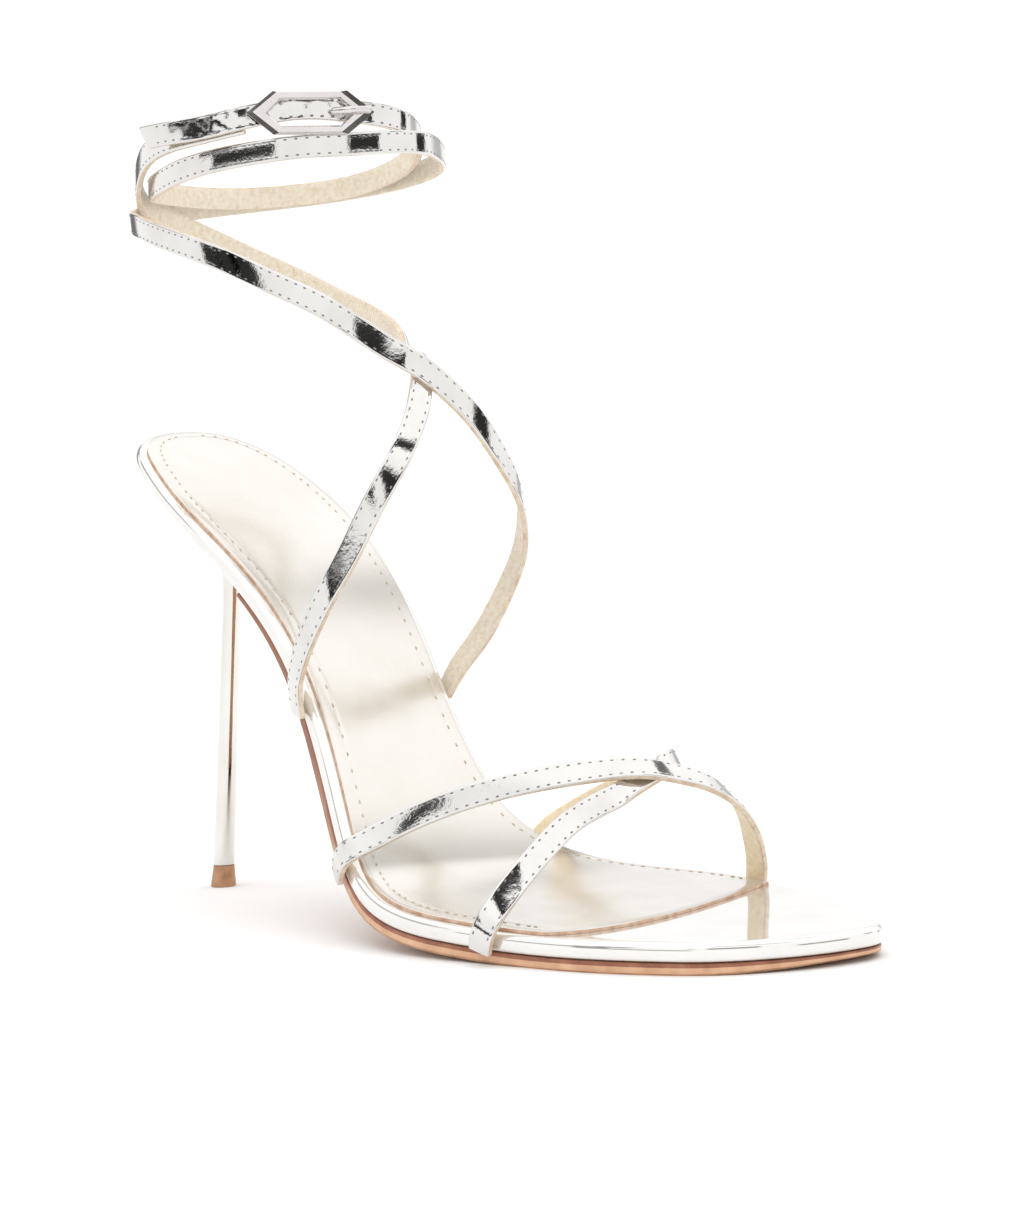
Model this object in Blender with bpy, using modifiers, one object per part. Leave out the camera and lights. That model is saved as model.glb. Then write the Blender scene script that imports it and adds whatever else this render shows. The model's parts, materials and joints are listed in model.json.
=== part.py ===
"""Ankle-wrap pin-heel sandal, right foot.

All sizes are millimetres in the shoe's own frame (forward from the rear of the
heel seat, sideways + to the inner side of the foot, up from the floor); they
become metres, centred over the floor, when a mesh is made.
"""
import math

import bmesh
import bpy
import numpy as np

# ---------------------------------------------------------------- sizes, mm
MM = 0.001
SHIFT_FORWARD = -110.53          # centres the part over the origin
SHIFT_SIDE = -3.3
GAP = 0.3                        # clearance between pieces that meet

PLATFORM = 4.0                   # board and its wrapping
RIM_INSET = 1.1                  # how far the rounded rim draws in
OUTSOLE = 2.55                   # leather sheet, dressed flat where it meets the floor
OUTSOLE_INSET = 0.6
BREAST = 58.0                    # where the outsole starts, at the heel breast
BREAST_THIN = 0.42               # share of its thickness left there
BREAST_TAPER = 32.0              # length over which it reaches full thickness
TOE_SKIVE = 199.0                # where it starts to thin again round the toe
TOE_THIN = 0.55                  # share of its thickness lost at the tip
SOCK = 1.6                       # padded cover on the platform
SOCK_INSET = 2.2
SOCK_END = {"lateral": 171.0, "medial": 163.5}   # where its front edge meets the rim
SOCK_BULGE = 9.3                 # how far that edge bows forward between them

STRAP_WIDTH = 5.2
STRAP_THICK = 1.5
STRAP_STEP = 3.6                 # length of one facet along a strap
FINE_STEP = 0.6                  # spacing along the upper strap of a crossing, to find what lies under it
CROSS_SINK = 0.2                 # how far a strap is let into the one above it, where they are joined
CROSS_FLAT = 3.5                 # off the upper strap's middle, still pressed flat
CROSS_REACH = 8.0                # off the upper strap's middle, free again
STRAP_CLEAR = 0.55               # from a base to the wall it stands against
STRAP_SEAT = 15.0                # length over which a base turns flat to the sole's wall

LIFT_HEIGHT = 5.2
LIFT_RADIUS = {"floor": 3.05, "top": 2.55}
PIN_RADIUS = {"bottom": 2.6, "top": 2.15}
PIN_FOOT = (18.4, -2.4)          # forward, sideways on the floor
PIN_HEAD = (24.9, 0.2, 70.0)     # forward, sideways, up where the flare starts
FLARE = (16.5, 15.0)             # half length, half width under the seat
FLARE_RINGS = 7

BUCKLE_LENGTH = 28.5
BUCKLE_HEIGHT = 9.6
BUCKLE_WALL = 1.9                # along the two long bars
BUCKLE_END = 4.7                 # at the two points
BUCKLE_THICK = 1.7
BUCKLE_CORNER = 6.0              # how far the pointed ends reach past the bars
BUCKLE_WINDOW_CORNER = 2.9       # the same for the opening
BUCKLE_CENTRE = (86.0, -14.25, 180.2)
BUCKLE_TURN = -31.0              # way the buckle faces, degrees from forward
BUCKLE_ROLL = -1.4
PRONG_RADIUS = 0.85

ROWS = 44                        # facets along each side of the sole

# sole edge: half widths either side of the last's axis, and height of the
# platform's underside, at stations from the heel seat to the toe
SOLE = [  # forward, lateral, medial
    (2, 7.0, 11.7), (8, 14.3, 18.0), (18, 19.1, 22.0), (32, 22.2, 24.0),
    (48, 22.4, 23.3), (66, 21.3, 20.3), (84, 23.3, 16.3), (102, 30.2, 16.4),
    (118, 36.6, 24.0), (134, 38.6, 34.8), (150, 37.1, 42.0), (166, 33.6, 43.1),
    (182, 29.8, 39.5), (196, 23.8, 32.3),
]
TOE = [  # forward, sideways: round the front, outer side to inner side
    (205.2, -18.0), (212.0, -10.6), (217.4, -1.4), (220.2, 7.4), (220.7, 13.4),
    (219.4, 17.2), (216.0, 20.9), (210.7, 24.4), (203.7, 28.3),
]
TIP = 4                          # the row of TOE that is foremost
REAR = (0.0, 2.2)                # rearmost point of the seat
PROFILE = [  # forward, up
    (-6, 110.1), (15, 100.8), (30, 92.6), (45, 83.4), (60, 72.1), (75, 57.0),
    (90, 36.8), (105, 18.7), (120, 8.9), (135, 5.0), (150, 3.6), (165, 2.7),
    (180, 2.6), (195, 2.6), (210, 2.6), (224, 2.8),
]

# straps: where the inner face of each runs, base to end
TOE_OVER = [  # forward, sideways, up
    (108.6, -33.6, 14.0), (112.0, -34.9, 18.6), (115.8, -32.6, 21.2),
    (121.7, -27.0, 25.2), (131.4, -18.0, 30.1), (143.8, -6.0, 33.7),
    (157.1, 5.0, 35.3), (162.5, 9.4, 34.9), (166.2, 14.2, 33.3),
    (168.8, 20.0, 30.7), (168.9, 26.6, 26.0), (165.6, 33.4, 19.9),
    (161.0, 39.4, 13.5), (157.0, 43.4, 8.0), (155.6, 43.6, 3.2),
]
TOE_UNDER = [  # forward, sideways, up
    (158.4, -36.0, 3.3), (159.8, -36.3, 7.2), (160.9, -33.9, 11.1),
    (161.2, -30.1, 15.0), (161.2, -24.2, 19.7), (160.8, -18.5, 23.4),
    (159.9, -11.6, 26.7), (159.2, -3.8, 28.9), (159.2, 3.7, 30.8),
    (160.5, 8.7, 32.9), (161.0, 14.1, 35.2), (156.1, 21.3, 35.4),
    (145.4, 27.4, 32.8), (135.0, 29.2, 29.2), (123.6, 28.4, 24.8),
    (116.0, 25.4, 20.6), (111.8, 22.0, 16.8), (110.4, 20.8, 14.2),
]
ANKLE_UNDER = [  # forward, sideways, up
    (83.6, -23.7, 47.0), (85.2, -25.4, 53.6), (89.6, -26.5, 61.0),
    (94.4, -26.0, 68.6), (98.6, -24.6, 75.4), (102.6, -22.2, 82.6),
    (106.8, -18.2, 93.1), (109.4, -12.2, 103.6), (108.0, -6.3, 111.9),
    (105.9, -2.6, 118.9), (101.3, 0.4, 123.6), (91.1, 6.6, 126.4),
    (77.7, 14.6, 129.4), (64.3, 22.0, 132.2), (52.3, 27.6, 135.0),
    (42.2, 31.0, 137.7), (33.5, 30.2, 141.4),
    (24.6, 26.0, 146.6), (18.3, 18.7, 151.6), (15.5, 9.3, 156.4),
    (16.3, -2.7, 160.9), (21.2, -13.4, 163.6), (27.6, -20.6, 166.3),
    (34.2, -25.2, 170.2), (40.8, -28.0, 173.6), (47.8, -29.8, 175.6),
    (55.2, -30.2, 176.7), (62.6, -29.0, 177.4), (69.6, -26.4, 178.3),
    (74.2, -23.8, 179.0),
]
# the other ankle strap: over the instep, twice round the ankle, out to its end
INSTEP_RUN = [  # forward, sideways, up
    (83.2, 17.2, 47.8), (86.2, 19.8, 54.4), (90.2, 22.8, 60.4),
    (95.9, 25.9, 70.7), (102.8, 25.2, 79.8), (108.2, 21.9, 87.0),
    (111.8, 18.0, 93.4), (112.4, 14.2, 100.0), (111.5, 10.2, 107.0),
    (110.3, 6.2, 112.8), (107.5, 0.2, 119.8), (105.4, -4.7, 124.0),
    (101.8, -8.4, 127.3), (96.8, -12.6, 132.0), (89.5, -17.0, 137.6),
    (81.2, -21.7, 142.3), (71.9, -25.7, 147.2), (60.8, -28.8, 151.8),
    (45.8, -29.2, 156.3), (34.4, -26.4, 159.2), (25.8, -21.8, 160.7),
]
FIRST_WRAP = [  # forward, sideways, up
    (18.4, -14.2, 162.4), (13.2, -1.0, 164.3), (13.2, 10.6, 165.6),
    (17.6, 21.0, 166.6), (26.7, 30.2, 167.5), (37.6, 36.0, 168.4),
    (49.4, 38.8, 169.5), (60.6, 38.0, 170.6), (70.8, 33.8, 171.7),
    (79.4, 26.4, 172.8), (85.8, 17.8, 173.8), (89.4, 9.6, 173.8),
    (90.2, 1.4, 173.5), (87.6, -7.2, 173.1), (82.8, -14.7, 173.0),
    (75.9, -20.6, 172.4), (67.0, -25.4, 171.5), (55.6, -28.0, 169.9),
]
SECOND_WRAP = [  # forward, sideways, up
    (45.4, -27.0, 168.2), (34.4, -22.0, 167.5), (24.6, -13.2, 167.6),
    (18.4, -2.4, 167.4), (17.6, 8.8, 167.0), (20.8, 18.2, 167.0),
    (26.9, 26.0, 167.4), (35.3, 32.0, 168.2), (45.4, 35.2, 169.9),
    (54.8, 35.0, 172.0), (63.6, 32.0, 174.2), (72.4, 26.0, 176.0),
    (80.8, 18.4, 177.3), (86.8, 10.6, 178.4),
]
FREE_END = [  # forward, sideways, up
    (89.0, 2.8, 179.6), (87.2, -6.0, 180.1), (83.4, -13.4, 180.2),
    (79.4, -20.0, 180.2), (74.8, -26.8, 179.4), (67.8, -30.8, 178.3),
    (58.8, -33.8, 177.9), (51.6, -34.4, 177.6),
]
ANKLE_OVER = INSTEP_RUN + FIRST_WRAP + SECOND_WRAP + FREE_END
# a line inside the last that every strap faces away from
SPINE = [  # forward, sideways, up
    (54, 4, 195), (54, 4, 165), (56, 3, 140), (64, 2, 118), (80, 1, 96),
    (94, 1, 74), (104, 1, 54), (116, 1, 30), (126, 3, 10),
]
# how far a strap is turned about its own length from facing away from that line
OVER_TURN = [  # length from the base, degrees
    (0, 0), (42, 0), (64, -12), (80, -20), (96, -30), (110, -28), (124, -14), (140, 0),
]
UNDER_TURN = [  # length from the base, degrees
    (0, 0), (12, 8), (40, 8), (66, 0), (80, -10), (94, -14), (108, 0), (124, 0),
]
TOE_TURN = [  # length from the base, degrees
    (0, 0), (70, 0), (88, -16), (100, -34), (112, -46), (120, -36), (125, -18), (129, 0),
]
NO_TURN = [(0, 0), (1, 0)]
TOE_CROSS = (30.0, 110.0)        # stretch of each lower strap that passes under the upper one
ANKLE_CROSS = (66.0, 130.0)

COLOURS = {  # red, green, blue, metallic, roughness
    "mirror": (0.82, 0.78, 0.70, 1.0, 0.12),
    "tan": (0.42, 0.22, 0.11, 0.0, 0.55),
    "sock": (0.80, 0.72, 0.56, 0.6, 0.40),
    "silver": (0.80, 0.80, 0.80, 1.0, 0.10),
}


# ---------------------------------------------------------------- curves
def spline(points, closed=False):
    """Cubic curve through points, paced by the root of the chord length."""
    p = np.asarray(points, float)
    if closed:
        p = np.vstack([p, p[:1]])
    t = np.concatenate([[0.0], np.cumsum(np.linalg.norm(np.diff(p, axis=0), axis=1) ** 0.5)])
    h = np.diff(t)
    n = len(p)
    a = np.zeros((n, n))
    r = np.zeros((n, p.shape[1]))
    slope = np.diff(p, axis=0) / h[:, None]
    for i in range(1, n - 1):
        a[i, i - 1], a[i, i], a[i, i + 1] = h[i - 1], 2 * (h[i - 1] + h[i]), h[i]
        r[i] = 6 * (slope[i] - slope[i - 1])
    if closed:
        a[0, 0], a[0, 1], a[0, n - 2] = 2 * (h[0] + h[-1]), h[0], h[-1]
        r[0] = 6 * (slope[0] - slope[-1])
        a[-1, 0], a[-1, -1] = 1, -1
    else:
        a[0, 0] = a[-1, -1] = 1
    m = np.linalg.solve(a, r)

    def at(s):
        s = np.clip(np.atleast_1d(np.asarray(s, float)), t[0], t[-1])
        i = np.clip(np.searchsorted(t, s, side="right") - 1, 0, n - 2)
        u, w, k = (t[i + 1] - s)[:, None], (s - t[i])[:, None], h[i][:, None]
        return (m[i] * u ** 3 + m[i + 1] * w ** 3) / (6 * k) + (
            p[i] / k - m[i] * k / 6) * u + (p[i + 1] / k - m[i + 1] * k / 6) * w

    return at, t


def even(points, step):
    """Points about one step apart along the curve through the given ones."""
    at, t = spline(points)
    fine = at(np.linspace(t[0], t[-1], 1500))
    s = np.concatenate([[0.0], np.cumsum(np.linalg.norm(np.diff(fine, axis=0), axis=1))])
    count = max(3, int(round(s[-1] / step)) + 1)
    want = np.linspace(0.0, s[-1], count)
    return np.stack([np.interp(want, s, fine[:, k]) for k in range(3)], 1)


def unit(v):
    return v / (np.linalg.norm(v, axis=-1, keepdims=True) + 1e-12)


def run_length(path):
    return np.concatenate([[0.0], np.cumsum(np.linalg.norm(np.diff(path, axis=0), axis=1))])


# ---------------------------------------------------------------- the last
_profile_at, _profile_t = spline(PROFILE)
_profile_fine = _profile_at(np.linspace(_profile_t[0], _profile_t[-1], 800))


def rise(forward):
    """Height of the platform's underside."""
    return np.interp(forward, _profile_fine[:, 0], _profile_fine[:, 1])


def on_last(forward, sideways, height):
    """A point a given height off the platform's underside, square to it."""
    slope = (rise(forward + 0.5) - rise(forward - 0.5)) / 1.0
    k = 1.0 / np.sqrt(1.0 + slope * slope)
    return np.stack([forward - slope * k * height, sideways + 0.0 * forward,
                     rise(forward) + k * height], -1)


def sole_edges(rows):
    """Lateral and medial edge in plan, heel to toe, with inward directions."""
    lateral = [REAR] + [(x, -l) for x, l, m in SOLE] + TOE[:TIP + 1]
    medial = TOE[TIP + 1:] + [(x, m) for x, l, m in SOLE][::-1]
    at, t = spline(lateral + medial, closed=True)
    tip = t[len(lateral) - 1]
    out = []
    for start, stop, turn in ((t[0], tip, 1.0), (t[-1], tip, -1.0)):
        s = np.linspace(start, stop, rows + 1)
        p = at(s)
        d = unit(at(np.clip(s + 0.01 * turn, t[0], t[-1])) - at(np.clip(s - 0.01 * turn, t[0], t[-1])))
        inward = np.stack([-d[:, 1], d[:, 0]], 1) * turn
        out.append((p, inward))
    return out


def outsole_share(forward):
    """Share of the outsole's thickness at a station: thinner at the breast and round the toe."""
    grown = np.clip((forward - BREAST) / BREAST_TAPER, 0.0, 1.0)
    toe = np.clip((forward - TOE_SKIVE) / (TOE[TIP][0] - TOE_SKIVE), 0.0, 1.0)
    return (BREAST_THIN + (1.0 - BREAST_THIN) * grown) * (1.0 - TOE_THIN * toe * toe)


def sole_sheet(first, last_lateral, last_medial, contour, inner, floor=None, bow=0.0):
    """Rings of a sheet that follows the sole.

    contour: (inset, height) up one edge from the underside to the top face;
    inner: how many points stand between the edges on each face.
    """
    fine = sole_edges(400)
    cut = []
    for (p, inward), stop in zip(fine, (last_lateral, last_medial)):
        keep = (p[:, 0] >= first) & (np.arange(len(p)) > 4)
        if stop is not None:
            keep &= p[:, 0] <= stop
        else:
            keep &= np.arange(len(p)) < len(p) - 4
        index = np.nonzero(keep)[0]
        pick = np.linspace(index[0], index[-1], ROWS + 1)
        lo = np.floor(pick).astype(int)
        hi = np.minimum(lo + 1, index[-1])
        f = (pick - lo)[:, None]
        cut.append((p[lo] * (1 - f) + p[hi] * f, unit(inward[lo] * (1 - f) + inward[hi] * f)))
    (lat, lat_in), (med, med_in) = cut
    rings = []
    for i in range(ROWS + 1):
        ahead = np.clip((i - 0.72 * ROWS) / (0.28 * ROWS), 0, 1) ** 1.5 * bow

        def across(fraction, inset, height):
            a = lat[i] + lat_in[i] * inset
            b = med[i] + med_in[i] * inset
            q = a * (1 - fraction) + b * fraction
            q = q + np.array([ahead * math.sin(math.pi * fraction ** 0.62), 0.0])
            if height < -GAP:
                height = -GAP + (height + GAP) * outsole_share(q[0])
            return on_last(np.array([q[0]]), np.array([q[1]]), height)[0]

        low_inset, low = contour[0]
        top_inset, top = contour[-1]
        ring = [across(0.0, d, h) for d, h in contour]
        ring += [across(f, top_inset, top) for f in np.linspace(0, 1, inner + 2)[1:-1]]
        ring += [across(1.0, d, h) for d, h in contour[::-1]]
        ring += [across(f, low_inset, low) for f in np.linspace(1, 0, inner + 2)[1:-1]]
        ring = np.array(ring)
        if floor is not None:
            ring[:, 2] = np.maximum(ring[:, 2], floor)
        rings.append(ring)
    return rings


# ---------------------------------------------------------------- meshes
def to_world(points):
    p = np.asarray(points, float) + np.array([SHIFT_FORWARD, SHIFT_SIDE, 0.0])
    return p * MM


def material(name):
    red, green, blue, metallic, roughness = COLOURS[name]
    found = bpy.data.materials.get(name)
    if found is None:
        found = bpy.data.materials.new(name)
        found.use_nodes = True
        shader = found.node_tree.nodes["Principled BSDF"]
        shader.inputs["Base Color"].default_value = (red, green, blue, 1.0)
        shader.inputs["Metallic"].default_value = metallic
        shader.inputs["Roughness"].default_value = roughness
    return found


def add(name, mesh, colour, collection):
    obj = bpy.data.objects.new(name, mesh)
    collection.objects.link(obj)
    mesh.materials.append(material(colour))
    obj.parent = shoe
    return obj


def loft(name, rings, colour, collection):
    """Closed solid through rings that have the same number of points."""
    bm = bmesh.new()
    rows = [[bm.verts.new(to_world(p)) for p in ring] for ring in rings]
    n = len(rows[0])
    for a, b in zip(rows, rows[1:]):
        for k in range(n):
            bm.faces.new((a[k], a[(k + 1) % n], b[(k + 1) % n], b[k]))
    bm.faces.new(rows[0])
    bm.faces.new(rows[-1][::-1])
    bmesh.ops.recalc_face_normals(bm, faces=bm.faces)
    bmesh.ops.triangulate(bm, faces=bm.faces)
    mesh = bpy.data.meshes.new(name)
    bm.to_mesh(mesh)
    bm.free()
    mesh.shade_smooth()
    mesh.set_sharp_from_angle(angle=math.radians(35))
    return add(name, mesh, colour, collection)


def spine_foot(p):
    """Nearest point of the line inside the last."""
    s = np.asarray(SPINE, float)
    best, where = 1e9, s[0]
    for a, b in zip(s, s[1:]):
        f = np.clip(np.dot(p - a, b - a) / np.dot(b - a, b - a), 0, 1)
        q = a + f * (b - a)
        d = np.linalg.norm(p - q)
        if d < best:
            best, where = d, q
    return where


def wall_near(p):
    """Nearest point of the sole's wall, and the way that wall faces."""
    best, where, face = 1e9, None, None
    for edge, inward in sole_edges(400):
        for height in (0.5, 0.5 * PLATFORM, PLATFORM - 1.0):
            q = on_last(edge[:, 0], edge[:, 1], height)
            d = np.linalg.norm(q - p, axis=1)
            i = int(d.argmin())
            if d[i] < best:
                best, where, face = d[i], q[i], np.array([-inward[i][0], -inward[i][1], 0.0])
    return where, face


def strap_frame(table, turns, seats, step):
    """Middle of a strap's inner face, the way it faces, and the length run.

    seats: which ends (first 0, last -1) stand against the sole's wall.
    """
    path = even(table, step)
    out = unit(np.array([p - spine_foot(p) for p in path]))
    run = run_length(path)
    for end in seats:
        far = abs(run - run[end])
        flat = np.clip(1.0 - far / STRAP_SEAT, 0.0, 1.0)[:, None] ** 0.6
        where, face = wall_near(path[end])
        path = path + flat * face * (STRAP_CLEAR - np.dot(path[end] - where, face))
        out = unit(out * (1.0 - flat) + flat * face)
    for _ in range(int(3 * (STRAP_STEP / step) ** 2)):
        out[1:-1] = unit(0.25 * out[:-2] + 0.5 * out[1:-1] + 0.25 * out[2:])
    along = unit(np.gradient(path, axis=0))
    out = unit(out - (out * along).sum(1, keepdims=True) * along)
    turn = np.radians(np.interp(run, *np.transpose(turns)))[:, None]
    out = out * np.cos(turn) + np.cross(along, out) * np.sin(turn)
    return path, out, run


def tuck(path, out, run, over, stretch):
    """Presses a stretch of one strap flat under another where it passes below it."""
    over_path, over_out = over[:2]
    path, out = path.copy(), out.copy()
    for i in range(len(path)):
        if not stretch[0] < run[i] < stretch[1]:
            continue
        j = int(np.linalg.norm(over_path - path[i], axis=1).argmin())
        apart = path[i] - over_path[j]
        up = np.dot(apart, over_out[j])
        flat = np.linalg.norm(apart - up * over_out[j])
        share = np.clip((CROSS_REACH - flat) / (CROSS_REACH - CROSS_FLAT), 0.0, 1.0)
        share = share * share * (3 - 2 * share) * np.clip(1.5 - 1.5 * abs(up) / CROSS_REACH, 0.0, 1.0)
        path[i] += share * min(0.0, CROSS_SINK - STRAP_THICK - up) * over_out[j]
        out[i] = unit((1 - share) * out[i] + share * over_out[j])
    return path, out, run


def strap(name, frame, colour, collection):
    """Flat strap on its centre line: an open ribbon with Solidify."""
    path, out, run = frame
    along = unit(np.gradient(path, axis=0))
    out = unit(out - (out * along).sum(1, keepdims=True) * along)
    side = np.cross(out, along)
    bm = bmesh.new()
    left = [bm.verts.new(to_world(q)) for q in path - side * STRAP_WIDTH / 2]
    right = [bm.verts.new(to_world(q)) for q in path + side * STRAP_WIDTH / 2]
    for i in range(len(path) - 1):
        bm.faces.new((left[i], left[i + 1], right[i + 1], right[i]))
    bmesh.ops.recalc_face_normals(bm, faces=bm.faces)
    bm.normal_update()
    if sum(f.normal.dot(out[i]) for i, f in enumerate(bm.faces)) < 0:
        bmesh.ops.reverse_faces(bm, faces=bm.faces)
    mesh = bpy.data.meshes.new(name)
    bm.to_mesh(mesh)
    bm.free()
    obj = add(name, mesh, colour, collection)
    wall = obj.modifiers.new("wall", "SOLIDIFY")
    wall.thickness = STRAP_THICK * MM
    wall.offset = 1.0
    wall.use_even_offset = False
    return obj


def join(obj, other):
    """Union of two straps where they cross."""
    union = obj.modifiers.new("joined", "BOOLEAN")
    union.operation = "UNION"
    union.object = other
    union.solver = "EXACT"
    other.hide_render = True
    other.display_type = "WIRE"
    facets = obj.modifiers.new("facets", "TRIANGULATE")
    facets.quad_method = "BEAUTY"


def circle(centre, radius_a, radius_b, count, lift=None):
    ring = []
    for k in range(count):
        turn = 2 * math.pi * k / count
        x = centre[0] + radius_a * math.cos(turn)
        y = centre[1] + radius_b * math.sin(turn)
        ring.append((x, y, centre[2] if lift is None else lift(x, y)))
    return np.array(ring)


# ---------------------------------------------------------------- the shoe
for old in list(bpy.data.objects):
    bpy.data.objects.remove(old)

parts = bpy.data.collections.new("sandal")
cutters = bpy.data.collections.new("cutters")
bpy.context.scene.collection.children.link(parts)
bpy.context.scene.collection.children.link(cutters)
shoe = bpy.data.objects.new("shoe", None)
parts.objects.link(shoe)

# platform: full length, with a rounded top rim
platform_edge = [(0.5, 0.0), (0.0, 0.5), (0.0, PLATFORM - 1.2), (0.35, PLATFORM - 0.35), (RIM_INSET, PLATFORM)]
loft("platform", sole_sheet(-1, None, None, platform_edge, 3), "mirror", parts)

# outsole: from the heel breast to the toe, flat on the floor under the ball
outsole_edge = [(OUTSOLE_INSET + 0.5, -GAP - OUTSOLE), (OUTSOLE_INSET, -GAP - OUTSOLE + 0.5), (OUTSOLE_INSET, -GAP)]
loft("outsole", sole_sheet(BREAST, None, None, outsole_edge, 5, floor=0.0), "tan", parts)

# sock: padded cover, its front edge bowed across the toes
sock_edge = [(SOCK_INSET, PLATFORM + GAP), (SOCK_INSET, PLATFORM + GAP + SOCK - 0.4), (SOCK_INSET + 0.5, PLATFORM + GAP + SOCK)]
loft("sock", sole_sheet(-1, SOCK_END["lateral"], SOCK_END["medial"], sock_edge, 5, bow=SOCK_BULGE), "sock", parts)

# heel: a pin that flares out under the heel seat
head = np.array(PIN_HEAD)
foot = np.array([PIN_FOOT[0], PIN_FOOT[1], 0.0])


def pin_centre(up):
    return foot + (head - foot) * (up / head[2])


pin_low = LIFT_HEIGHT + GAP
heel_rings = [circle(pin_centre(z), r, r, 20) for z, r in (
    (pin_low, PIN_RADIUS["bottom"]),
    (0.5 * (pin_low + head[2]), 0.5 * (PIN_RADIUS["bottom"] + PIN_RADIUS["top"])),
    (head[2], PIN_RADIUS["top"]))]
seat_centre = pin_centre(86.0)
for k in range(1, FLARE_RINGS + 1):
    f = k / FLARE_RINGS
    spread = f ** 3.2
    centre = head + (seat_centre - head) * f
    half = [PIN_RADIUS["top"] + (w - PIN_RADIUS["top"]) * spread for w in FLARE]

    def roof(x, y, level=centre[2], f=f):
        return level * (1 - f ** 2) + (rise(x) - GAP * 1.25) * f ** 2

    heel_rings.append(circle(centre, half[0], half[1], 20, roof))
loft("heel", heel_rings, "mirror", parts)

# heel lift: the piece that meets the floor
loft("heel_lift", [circle(pin_centre(0.0), LIFT_RADIUS["floor"], LIFT_RADIUS["floor"], 20),
                   circle(pin_centre(LIFT_HEIGHT), LIFT_RADIUS["top"], LIFT_RADIUS["top"], 20)], "tan", parts)

# toe straps, joined where they cross
toe_over = strap_frame(TOE_OVER, TOE_TURN, (0, -1), FINE_STEP)
toe_under = tuck(*strap_frame(TOE_UNDER, NO_TURN, (0, -1), STRAP_STEP), toe_over, TOE_CROSS)
toe_straps = strap("toe_straps", strap_frame(TOE_OVER, TOE_TURN, (0, -1), STRAP_STEP), "mirror", parts)
join(toe_straps, strap("toe_under", toe_under, "mirror", cutters))

# ankle straps, joined where they cross over the instep
ankle_over = strap_frame(ANKLE_OVER, OVER_TURN, (0,), FINE_STEP)
ankle_under = tuck(*strap_frame(ANKLE_UNDER, UNDER_TURN, (0,), STRAP_STEP), ankle_over, ANKLE_CROSS)
ankle_straps = strap("ankle_straps", strap_frame(ANKLE_OVER, OVER_TURN, (0,), STRAP_STEP), "mirror", parts)
join(ankle_straps, strap("ankle_under", ankle_under, "mirror", cutters))


# buckle: a long six-sided frame, standing on edge against the ankle
def hexagon(length, height, corner):
    half, bar = length / 2, length / 2 - corner
    return [(-half, 0), (-bar, -height / 2), (bar, -height / 2), (half, 0), (bar, height / 2), (-bar, height / 2)]


def buckle_place(along, up, out):
    """From the buckle's own plane to the shoe's frame."""
    turn, roll = math.radians(BUCKLE_TURN), math.radians(BUCKLE_ROLL)
    a = along * math.cos(roll) - up * math.sin(roll)
    b = along * math.sin(roll) + up * math.cos(roll)
    face = np.array([math.cos(turn), math.sin(turn), 0.0])
    run = np.array([-math.sin(turn), math.cos(turn), 0.0])
    return np.array(BUCKLE_CENTRE) + run * a + np.array([0, 0, b]) + face * out


outer = hexagon(BUCKLE_LENGTH, BUCKLE_HEIGHT, BUCKLE_CORNER)
inner = hexagon(BUCKLE_LENGTH - 2 * BUCKLE_END, BUCKLE_HEIGHT - 2 * BUCKLE_WALL, BUCKLE_WINDOW_CORNER)
bm = bmesh.new()
chamfer = 0.35
loops = []
for outline, out, grow in ((outer, 0.0, 0.0), (outer, BUCKLE_THICK - chamfer, 0.0), (outer, BUCKLE_THICK, -chamfer),
                           (inner, BUCKLE_THICK, chamfer), (inner, BUCKLE_THICK - chamfer, 0.0), (inner, 0.0, 0.0)):
    loops.append([bm.verts.new(to_world(buckle_place(a + math.copysign(grow, a), b + (math.copysign(grow, b) if b else 0.0), out)))
                  for a, b in outline])
for a, b in zip(loops, loops[1:] + loops[:1]):
    for k in range(6):
        bm.faces.new((a[k], a[(k + 1) % 6], b[(k + 1) % 6], b[k]))
bmesh.ops.recalc_face_normals(bm, faces=bm.faces)
frame_mesh = bpy.data.meshes.new("buckle_frame")
bm.to_mesh(frame_mesh)
bm.free()
add("buckle_frame", frame_mesh, "silver", parts)

# prong: out of a hole in the strap and over the frame's front end
prong_path = [  # along, out
    (4.6, 0.35), (6.6, 1.6), (8.8, 2.9), (11.0, 2.95), (13.4, 2.95),
]
curve = bpy.data.curves.new("buckle_prong", "CURVE")
curve.dimensions = "3D"
curve.bevel_depth = PRONG_RADIUS * MM
curve.bevel_resolution = 2
curve.use_fill_caps = True
line = curve.splines.new("POLY")
line.points.add(len(prong_path) - 1)
for point, (along, out) in zip(line.points, prong_path):
    point.co = (*to_world(buckle_place(along, 0.3, out)), 1.0)
prong = bpy.data.objects.new("buckle_prong", curve)
parts.objects.link(prong)
prong.parent = shoe
curve.materials.append(material("silver"))
weld = prong.modifiers.new("caps", "WELD")
weld.merge_threshold = 0.00001
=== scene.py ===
"""Looks of the ankle-wrap pin-heel sandal: finishes, stitching, studio and camera.

Sizes are millimetres in the shoe's own frame (forward from the rear of the heel
seat, sideways + to the inner side of the foot, up from the floor).
"""
import json
import math

import bmesh
import bpy
import numpy as np
from mathutils import Matrix

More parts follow.
